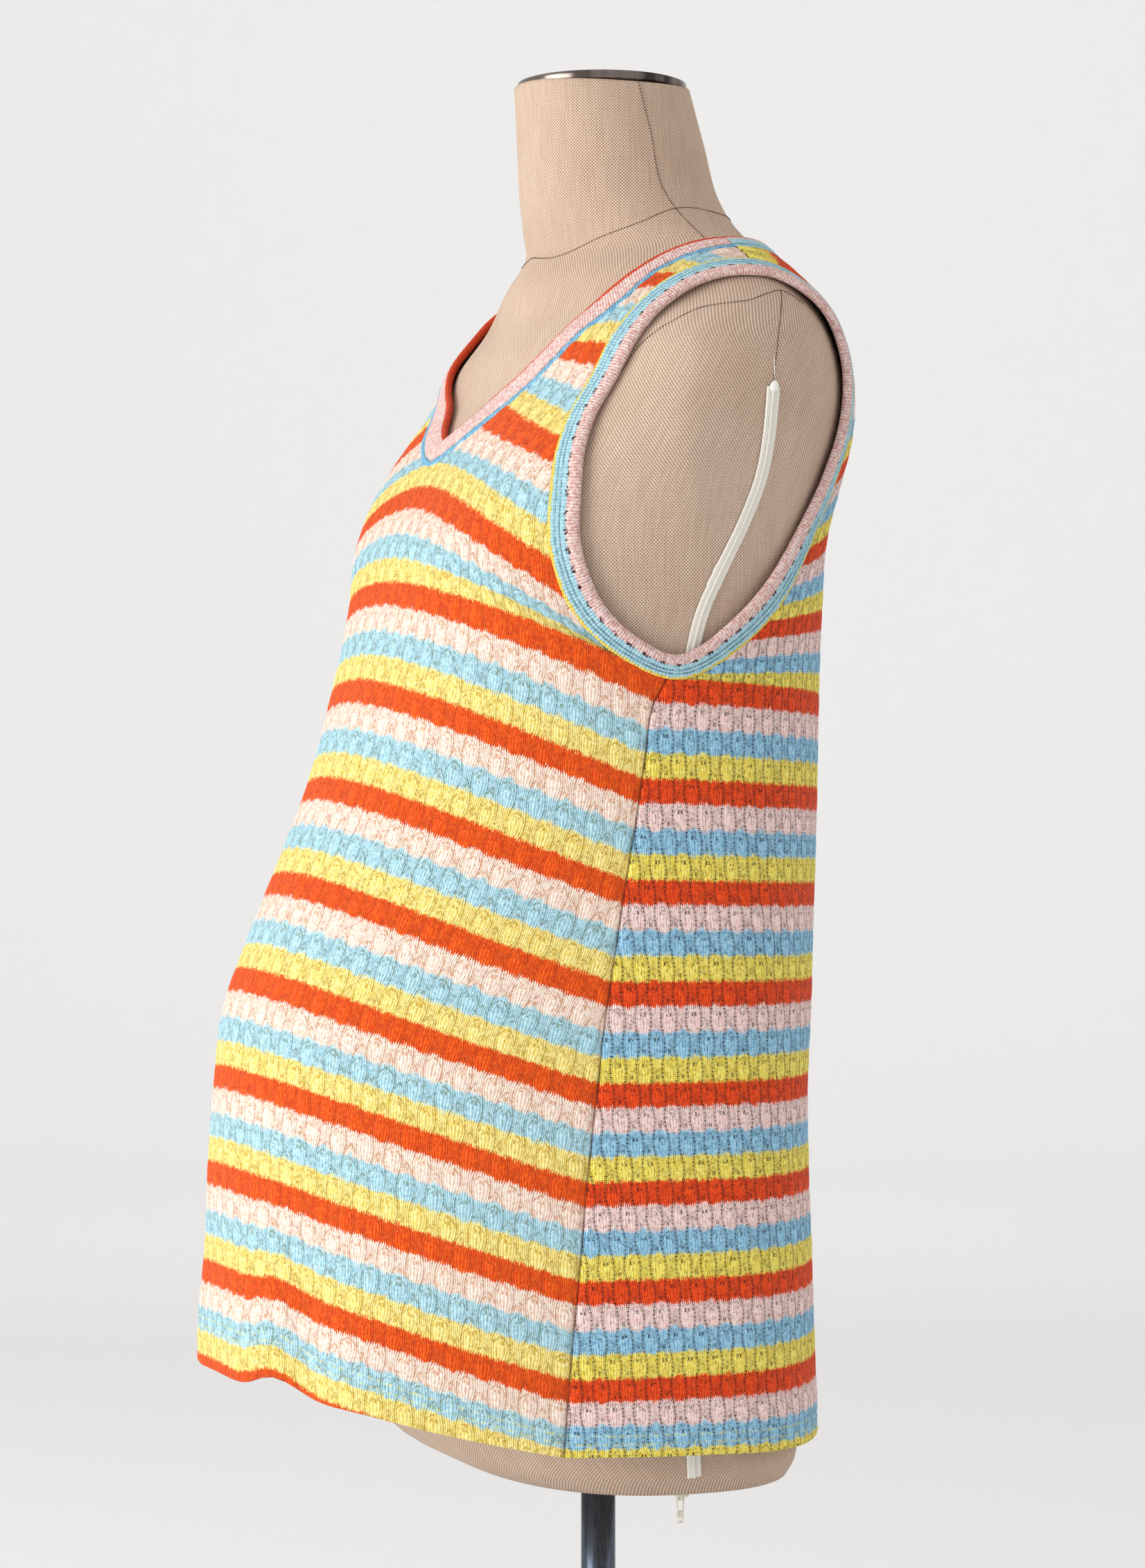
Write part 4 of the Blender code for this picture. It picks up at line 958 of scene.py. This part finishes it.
class Nodes:
    """Short calls that add nodes to a material and link them."""

    def __init__(self, name):
        self.material = bpy.data.materials.new(name)
        self.material.use_nodes = True
        self.tree = self.material.node_tree
        self.shader = self.tree.nodes["Principled BSDF"]

    def add(self, kind, **settings):
        node = self.tree.nodes.new(kind)
        for key, value in settings.items():
            setattr(node, key, value)
        return node

    def put(self, sockets, values):
        """Gives each socket its value, or links it."""
        for socket, value in zip(sockets, values):
            if isinstance(value, Value):
                self.tree.links.new(value.socket, socket)
            else:
                socket.default_value = value

    def math(self, operation, *values, clamp=False):
        node = self.add("ShaderNodeMath", operation=operation, use_clamp=clamp)
        self.put(node.inputs, values)
        return Value(self, node.outputs[0])

    def sine(self, value):
        return self.math("SINE", value)

    def cosine(self, value):
        return self.math("COSINE", value)

    def floor(self, value):
        return self.math("FLOOR", value)

    def fract(self, value):
        return self.math("FRACT", value)

    def top(self, a, b):
        return self.math("MAXIMUM", a, b)

    def power(self, value, by):
        return self.math("POWER", value, by)

    def remainder(self, value, by):
        return self.math("FLOORED_MODULO", value, by)

    def ramp(self, value, low, high, start=0.0, end=1.0):
        """A soft step: start where value is low, end where it is high."""
        node = self.add("ShaderNodeMapRange", interpolation_type="SMOOTHSTEP")
        self.put(node.inputs, (value, low, high, start, end))
        return Value(self, node.outputs[0])

    def fade(self, value, low, high):
        """A soft step down: 1 where value is low, 0 where it is high."""
        return self.ramp(value, low, high, 1.0, 0.0)

    def mix(self, share, a, b):
        node = self.add("ShaderNodeMix", data_type="RGBA")
        self.put((node.inputs[0], node.inputs[6], node.inputs[7]), (share, a, b))
        return Value(self, node.outputs[2])

    def steps(self, value, colours):
        """One of some colours, for a value from 0 to 1 in equal steps."""
        node = self.add("ShaderNodeValToRGB")
        node.color_ramp.interpolation = "CONSTANT"
        stops = node.color_ramp.elements
        while len(stops) < len(colours):
            stops.new(0.5)
        for k, colour in enumerate(colours):
            stops[k].position = k / len(colours)
            stops[k].color = colour
        self.put(node.inputs, (value,))
        return Value(self, node.outputs[0])

    def split(self, value):
        node = self.add("ShaderNodeSeparateXYZ")
        self.put(node.inputs, (value,))
        return [Value(self, item) for item in node.outputs]

    def place(self, label):
        """The two coordinates of a map."""
        return self.split(Value(self, self.add("ShaderNodeUVMap", uv_map=label).outputs[0]))[:2]

    def spot(self):
        """The place on the object."""
        return Value(self, self.add("ShaderNodeTexCoord").outputs["Object"])

    def noise(self, scale, detail=2.0, vector=None):
        node = self.add("ShaderNodeTexNoise")
        sockets = [node.inputs[label] for label in ("Scale", "Detail", "Vector")]
        self.put(sockets, (scale, detail, vector or self.spot()))
        return Value(self, node.outputs["Fac"])

    def vector(self, x, y, z=0.0):
        node = self.add("ShaderNodeCombineXYZ")
        self.put(node.inputs, (x, y, z))
        return Value(self, node.outputs[0])

    def bump(self, height, distance, strength=1.0):
        node = self.add("ShaderNodeBump")
        sockets = [node.inputs[label] for label in ("Strength", "Distance", "Height")]
        self.put(sockets, (strength, distance, height))
        self.put([self.shader.inputs["Normal"]], [Value(self, node.outputs[0])])

    def finish(self, colour, rough, metallic=0.0, sheen=0.0):
        settings = {
            "Base Color": colour, "Roughness": rough, "Metallic": metallic, "Sheen Weight": sheen,
            "Sheen Roughness": 0.5, "Specular IOR Level": 0.25 if sheen else 0.5,
        }
        self.put([self.shader.inputs[label] for label in settings], settings.values())
        return self.material


def rgb(red, green, blue):
    """A colour given as it looks on screen, from 0 to 255."""
    shares = [c / 255 for c in (red, green, blue)]
    return (*(c / 12.92 if c <= 0.04045 else ((c + 0.055) / 1.055) ** 2.4 for c in shares), 1.0)


def darker(colour, share):
    """A screen colour with a share of its light taken away."""
    return (*(c * (1 - share) for c in rgb(*colour)[:3]), 1.0)


def yarn(n, across, up, courses):
    """Yarn strands: across and up count wales and courses. Gives height from 0 to 1."""
    s = abs(n.fract(across) * 2.0 - 1.0)
    k = n.fract(up * courses + s * 0.5)
    body = 1.0 - s * s
    grain = n.sine(k * math.pi)
    return body * (grain * 0.55 + 0.45), s


def knit_holes(n, back, qp, w, height):
    """The pattern's holes, and the mask of the painted shade in the shallow valley along each ladder.
    """
    row = n.floor(w)
    up = w - row
    away = n.math("PINGPONG", qp - n.remainder(row, 2.0), 1.0)
    # The ladders between the ovals: a column of dots painted dark with the shade behind the cloth, in
    # a shallow valley with painted shade along it.
    line = abs(n.fract(qp) - 0.5)
    valley = n.fade(line, 0.04, 0.30)
    ladder = n.fade(line, *LADDER_WIDTH[back])
    rung = n.sine(w * (2 * math.pi * COURSES_PER_STRIPE))
    # Every other hole is smaller.
    small = n.ramp(n.sine(w * (math.pi * COURSES_PER_STRIPE)), -0.3, 0.3, SMALL_HOLE[back], 1.0)
    rung = n.fade(rung, -0.1, 0.8) * small
    patchy = n.noise(330.0)
    hole = ladder * rung * n.ramp(patchy, 0.38, 0.58, LADDER_LEAST[back], 1.0)
    # Pairs of slits high in each oval and low between two ovals.
    for centre, level in ((away, 0.70), (1.0 - away, 0.24)):
        slit = n.fade(abs(centre - 0.085), 0.03, 0.065) * n.fade(abs(up - level), 0.05, 0.13)
        hole = n.top(hole, slit * n.ramp(patchy, 0.42, 0.56, 0.2, 0.9))
    # Each oval closes over its top with an arc of small holes, and each gap with a lower one.
    for centre, level in ((away, 0.52), (1.0 - away, 0.08)):
        arc = n.cosine(centre * math.pi) * 0.40 + level
        thin = n.fade(abs(up - arc), 0.03, 0.07) * n.fade(centre, 0.44, 0.52)
        hole = n.top(hole, thin * n.ramp(patchy, 0.40, 0.60, 0.0, ARC_HOLES[back]))
    # Here and there the yarn lies open and what is behind shows between the strands, in the holes'
    # painted shade.
    open_yarn = n.ramp(n.noise(470.0, 1.0), 0.52, 0.62) * n.fade(height, 0.2, 0.75)
    return n.top(hole, open_yarn * FLECKS[back]), valley


def stripe_number(n, qp, w, tooth):
    """Which of the four colours a place has, as a value from 0 to 1.

    Where one colour meets the next there are lobes or peaks over each oval, and a tooth for each wale.
    """
    below = n.floor(w + 0.5) - 1.0
    reach = n.math("PINGPONG", qp - n.remainder(below, 2.0), 1.0) * (0.5 * math.pi)
    kind = (n.remainder(below, 4.0) + 0.5) * 0.25
    lobes, peaks = (n.steps(kind, [(s, s, s, 1) for s in sizes]) for sizes in (LOBES, PEAKS))
    bulge = (n.cosine(reach) - 0.55) * lobes + (1.0 - n.sine(reach) - 0.35) * peaks
    teeth = (0.5 - tooth) * TEETH + (n.noise(430.0, 1.0) - 0.5) * (2.2 * TEETH)
    return (n.remainder(n.floor(w - (bulge + teeth)), 4.0) + 0.5) * 0.25


def knit_material(back):
    """The striped pointelle knit, drawn on the map in metres."""
    n = Nodes("knit_back" if back else "knit_front")
    u, v = n.place("knit")
    beside_seam, _ = n.place("edge")
    q = u * (2 / OVAL_PITCH)
    w = (v - FIRST_RED_TOP) * (1 / STRIPE)
    qp = q - n.sine(w * math.pi) * n.sine(q * math.pi) * OVAL_SWELL
    height, tooth = yarn(n, qp * WALES_PER_HALF, w, COURSES_PER_STRIPE)
    hole, valley = knit_holes(n, back, qp, w, height)
    which = stripe_number(n, qp, w, tooth)
    tones = KNIT_BACK if back else KNIT_FRONT_LIT
    tone, shade, hole_shade_colour = (n.steps(which, [rgb(*c) for c in row]) for row in tones)
    # Towards the sides the front's holes take a little of the back's darker painted shade.
    if not back:
        side_hole_shade = n.steps(which, [rgb(*c) for c in KNIT_BACK[2]])
        hole_shade_colour = n.mix(n.ramp(abs(u), 0.15, 0.30) * 0.2, hole_shade_colour, side_hole_shade)
    fuzz = n.noise(500.0, 3.0)
    # Painted shade: darker in the strand gaps and along each ladder's valley, lighter on the strands'
    # tops.
    lit = n.power(height, 0.7) * (1.0 - valley * VALLEY_SHADE[back]) * 0.75
    lit = n.math("ADD", lit, n.ramp(fuzz, 0.30, 0.70, -0.3, 0.45), clamp=True)
    colour = n.mix((n.noise(22.0) - 0.4) * 0.10, n.mix(lit, shade, tone), shade)
    # The holes are real; their colour is the painted shade behind the cloth.
    colour = n.mix(hole * 0.95, colour, hole_shade_colour)
    stitched = 0.0
    for stitch_row in HEM_STITCH_ROWS:
        stitched = n.top(n.fade(abs(v - stitch_row), 0.0003, 0.0009), stitched)
    dots = n.ramp(n.noise(620.0, 0.0, n.vector(u, v)), 0.50, 0.60)
    colour = n.mix(stitched * dots * 0.75, colour, rgb(*HEM_THREAD))
    # Painted shade in the crease along the side seam.
    seam_crease_shade = n.ramp(beside_seam, 0.0002, 0.0010, SEAM_SHADE, 0.0)
    colour = n.mix(seam_crease_shade, colour, n.mix(0.5, hole_shade_colour, rgb(*SEAM_CREASE_SHADE)))
    n.bump(height * 0.55 - hole * 0.9 + fuzz * 0.12, 0.0007)
    return n.finish(colour, n.ramp(height, 0.0, 1.0, 0.98, 0.85), sheen=0.05)


def band_material(name, zones, width, furrows, eyelets=None):
    """A folded band. Zones are (share from the seam where each colour ends, colour, shade)."""
    n = Nodes(name)
    u, v = n.place("knit")
    level = v * (1 / width)
    rib = abs(n.fract(u * (1 / RIB_PITCH)) * 2.0 - 1.0)
    at = level + (n.noise(420.0) - 0.5) * 0.12 + (rib - 0.5) * 0.035
    if eyelets is None:
        # Towards the shoulder the neckband leans over and the red inside shows along its fold.
        lean = n.ramp(n.split(n.spot())[2], 0.895, 0.945) * n.ramp(at, 0.5, 0.72)
        at = at + lean * RED_LEAN
    stitch = n.sine((v * (1 / BAND_STITCH) + rib) * (2 * math.pi))
    height = (1.0 - rib * rib) * (stitch * 0.25 + 0.75)
    speckle = n.ramp(n.noise(520.0), 0.32, 0.68, -0.3, 0.4)
    lit = n.math("ADD", n.power(height, 0.8) * 0.8, speckle, clamp=True)
    colour = None
    for end, tone, shade in reversed(zones):
        painted = n.mix(lit, rgb(*shade), rgb(*tone))
        colour = n.mix(n.ramp(at, end - 0.004, end + 0.004), painted, colour) if colour else painted
    relief = height * 0.8 + n.noise(1000.0, 3.0) * 0.2
    for furrow in furrows:
        # Painted shade in each furrow, which also sinks in the relief.
        furrow_shade = n.fade(abs(level - furrow), 0.008, 0.035)
        furrow_shade = furrow_shade * n.ramp(n.noise(300.0, 1.0), 0.35, 0.6, 0.35, 0.9)
        colour = n.mix(furrow_shade, colour, n.mix(0.4, rgb(*BLUE_YARN[1]), rgb(*FURROW_SHADE)))
        relief = relief - furrow_shade
    if eyelets:
        share, pitch = eyelets
        dot = abs(n.fract(u * (1 / (2 * RIB_PITCH))) - 0.5)
        dots = n.fade(dot, 0.12, 0.26) * n.fade(abs(level - share), 0.02, 0.05)
        dots = dots * n.ramp(n.noise(260.0, 1.0), 0.40, 0.60, 0.1, 0.9)
        # The dots and holes are real; their dark colour is the painted shade behind them.
        colour = n.mix(dots, colour, rgb(*SMALL_DOT_SHADE))
        cell = abs(n.fract(u * (1 / pitch)) - 0.5)
        cluster = n.fade(cell, 0.10, 0.22) * n.fade(abs(at - share), 0.04, 0.08)
        holes = cluster * n.ramp(n.noise(700.0, 0.0), 0.45, 0.52)
        colour = n.mix(holes, colour, rgb(*EYELET_HOLE_SHADE))
        relief = relief - holes * 1.5
    n.bump(relief, 0.0009)
    return n.finish(colour, 0.9, sheen=0.05)


def cover_material():
    """The form's cover: a fine net of cream yarn, darker between its yarns, on the bias."""
    n = Nodes("cover")
    u, v = n.place("weave")
    one, two = (abs(n.sine(way * (1 / COVER_PITCH) * math.pi)) for way in (u + v, u - v))
    height = n.top(n.power(one, 1.5), n.power(two, 1.5))
    gap = n.fade(height, 0.25, 0.85)
    cream = n.mix(n.ramp(n.noise(9.0, 3.0), 0.35, 0.65), *(rgb(*c) for c in COVER_TONES[:2]))
    slub = n.ramp(n.noise(1.0, 3.0, n.vector(u * 640.0, v * 40.0)), 0.35, 0.65)
    cream = n.mix(n.noise(1500.0) * 0.2 + slub * 0.28, cream, rgb(*COVER_TONES[2]))
    n.bump(height - gap * 0.4, 0.00025, 0.8)
    return n.finish(n.mix(gap, cream, rgb(*COVER_TONES[3])), 0.9, sheen=0.05)


def plain_material(name, colour, rough, metallic=0.0, grain=0.0, scale=400.0, depth=0.0001):
    """A surface with a faint grain in its colour, gloss and relief."""
    n = Nodes(name)
    speck = n.noise(scale, 3.0)
    n.bump(speck, depth, 0.5)
    n.shader.inputs["Coat Weight"].default_value = 0.2 if rough < 0.5 else 0.0
    painted = n.mix(speck, darker(colour, grain), rgb(*colour))
    return n.finish(painted, n.ramp(speck, 0.2, 0.8, rough * 0.8, rough * 1.15), metallic)


def brushed_material(name, colour, rough, stretch, metallic=1.0, depth=0.28):
    """Metal with fine lines drawn one way."""
    n = Nodes(name)
    scaled = n.add("ShaderNodeMapping")
    n.put([scaled.inputs["Vector"], scaled.inputs["Scale"]], [n.spot(), stretch])
    lines = n.noise(60.0, 4.0, Value(n, scaled.outputs[0]))
    n.bump(lines, 0.00004, 0.5)
    painted = n.mix(n.ramp(lines, 0.38, 0.62), darker(colour, depth), rgb(*colour))
    return n.finish(painted, n.ramp(lines, 0.3, 0.7, rough * 0.75, rough * 1.25), metallic)


def zip_material():
    """White woven tape with a coil down its middle, painted darker in the hollows, paler on the
    ridges.
    """
    n = Nodes("zip")
    u, v = n.place("zip")
    coil = n.fade(abs(u), 0.0008, 0.0010)
    teeth = n.sine((v * (1 / COIL_PITCH) + abs(u) * 500.0) * (2 * math.pi))
    ribs = n.sine(u * (2 * math.pi / TAPE_RIB))
    height = teeth * coil * 0.6 + ribs * (1.0 - coil) * 0.25
    n.bump(height, 0.00018)
    # The colour follows the relief: painted shade where it is low, paler where it is high.
    return n.finish(n.mix(n.ramp(height, -0.5, 0.5), *(rgb(*c) for c in TAPE_SHADE_AND_LIT)), 0.6)


def paint(thing, material):
    """Gives a piece one material."""
    thing.data.materials.clear()
    thing.data.materials.append(material)


def soft_light(name, turn, rise, distance, size, power, colour, outward):
    """A square soft light that looks at the middle of the object, or away from it."""
    data = bpy.data.lights.new(name, "AREA")
    data.shape = "SQUARE"
    data.size = size
    data.energy = power
    data.color = colour
    lamp = bpy.data.objects.new(name, data)
    bpy.context.scene.collection.objects.link(lamp)
    t, r = math.radians(turn), math.radians(rise)
    way = np.array([math.sin(t) * math.cos(r), -math.cos(t) * math.cos(r), math.sin(r)])
    lamp.location = way * distance + (0, 0, LIGHT_AIM)
    lamp.rotation_euler = (math.pi / 2, 0, t + math.pi) if outward else (math.pi / 2 - r, 0, t)


def studio():
    """A pale round floor that sweeps up to a wall on every side, soft lights and a camera."""
    profile = [(0.001, 0.0), (STAGE_FLOOR, 0.0)]
    for t in np.linspace(0, 0.5 * math.pi, 24)[1:]:
        profile.append((STAGE_FLOOR + STAGE_SWEEP * math.sin(t), STAGE_SWEEP * (1 - math.cos(t))))
    profile.append((STAGE_FLOOR + STAGE_SWEEP, STAGE_WALL))
    t = np.arange(97) * 2 * math.pi / 96
    rings = [np.stack([r * np.cos(t), r * np.sin(t), h + 0 * t], -1) for r, h in profile]
    stage = mesh_piece("stage", rings, grid_faces(len(profile), 97, flip=True))
    paint(stage, Nodes("stage").finish(STAGE_COLOUR, 0.9))
    world = bpy.data.worlds.new("studio")
    world.use_nodes = True
    world.node_tree.nodes["Background"].inputs[0].default_value = WORLD_COLOUR
    world.node_tree.nodes["Background"].inputs[1].default_value = WORLD_STRENGTH
    bpy.context.scene.world = world
    for light in LIGHTS:
        soft_light(*light)
    data = bpy.data.cameras.new("camera")
    data.sensor_fit = "VERTICAL"
    data.sensor_height = CAMERA_SENSOR
    data.lens = CAMERA_LENS
    camera = bpy.data.objects.new("camera", data)
    bpy.context.scene.collection.objects.link(camera)
    turn = math.radians(CAMERA_TURN)
    toward = np.array([math.sin(turn), -math.cos(turn), 0])
    right = np.array([math.cos(turn), math.sin(turn), 0])
    camera.location = toward * CAMERA_DISTANCE + right * CAMERA_SIDE + (0, 0, CAMERA_HEIGHT)
    camera.rotation_euler = (math.pi / 2, 0, turn)
    bpy.context.scene.camera = camera
    bpy.context.scene.view_settings.view_transform = "Standard"


def place_piece(thing, material, nodes, body="top_on_form"):
    """Gives a piece its material, its body and the CAD nodes it stands for."""
    paint(thing, material)
    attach(thing, body)
    if nodes:
        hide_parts(*nodes)


def dress_top():
    """Builds the top: its panels and its bands."""
    for name, back in (("front_panel", False), ("back_panel", True)):
        columns = BACK_COLUMNS if back else FRONT_COLUMNS
        thing, width, length, area = cloth_panel(name + "_knit", back, ROW_STEP, columns)
        place_piece(thing, knit_material(back), [name])
    looks = [
        band_material(name, zones, NECK_BAND_WIDTH, NECK_FURROWS)
        for name, zones in (("neckband", NECK_ZONES), ("neckband_back", NECK_ZONES_BACK))
    ]
    looks += 2 * [band_material("armband", ARM_ZONES, ARM_BAND_WIDTH, ARM_FURROWS, EYELETS)]
    slots = ("band", "band", "armband", "armband")
    for (thing, length, width), look, slot in zip(neck_bands() + arm_bands(), looks, slots):
        place_piece(thing, look, [thing.name.removesuffix("_knit")])


def dress_form():
    """Builds the form with its seams, its zip and its metal cap."""
    place_piece(fine_form(), cover_material(), ["dress_form"])
    thread = plain_material("seam_thread", THREAD_TONE, 0.9)
    lines = []
    for table in FORM_SEAMS:
        angle, height = smooth_line(table, SEAM_COUNT, surface=on_form)
        lines += [(angle, height), (-angle, height)]
    place_piece(stitches("form_seams", lines, *SEAM_STITCH), thread, [])
    place_piece(zip_pieces(), zip_material(), ["zip_tape"])
    white = plain_material("zip_white", WHITE_TONE, 0.4)
    place_piece(zip_stop(), white, [])
    angles, heights = np.array(LOOSE_THREAD).T
    loose = stitches("loose_thread", [(np.radians(angles), heights)], *LOOSE_STITCH)
    place_piece(loose, white, [])
    cap = brushed_material("cap_metal", CAP_TONE, 0.16, (0.6, 0.6, 0.3), 1.0, 0.85)
    place_piece(cap_piece(), cap, ["neck_cap"])
    cream = plain_material("cream_enamel", CREAM_TONE, 0.3, 0.0, 0.08)
    place_piece(pull_piece(), cream, ["zip_pull"], "pull")
    paint(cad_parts["zip_slider"], cream)


def dress_stand():
    """Builds the pole and the base."""
    steel = brushed_material("dark_steel", STEEL_TONE, 0.28, (30, 30, 1), 0.85)
    low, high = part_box("stand_pole")
    radius = 0.5 * (high[0] - low[0])
    pole = turned("pole", [(radius, low[2]), (radius, high[2])], 64)
    place_piece(pole, steel, ["stand_pole"])
    base_steel = plain_material("base_steel", BASE_TONE, 0.42, 0.6, 0.1, 900.0, 0.00003)
    place_piece(turned("base", rounded(BASE_PROFILE, BASE_ROUND)), base_steel, ["stand_base"])


dress_top()
dress_form()
dress_stand()
studio()
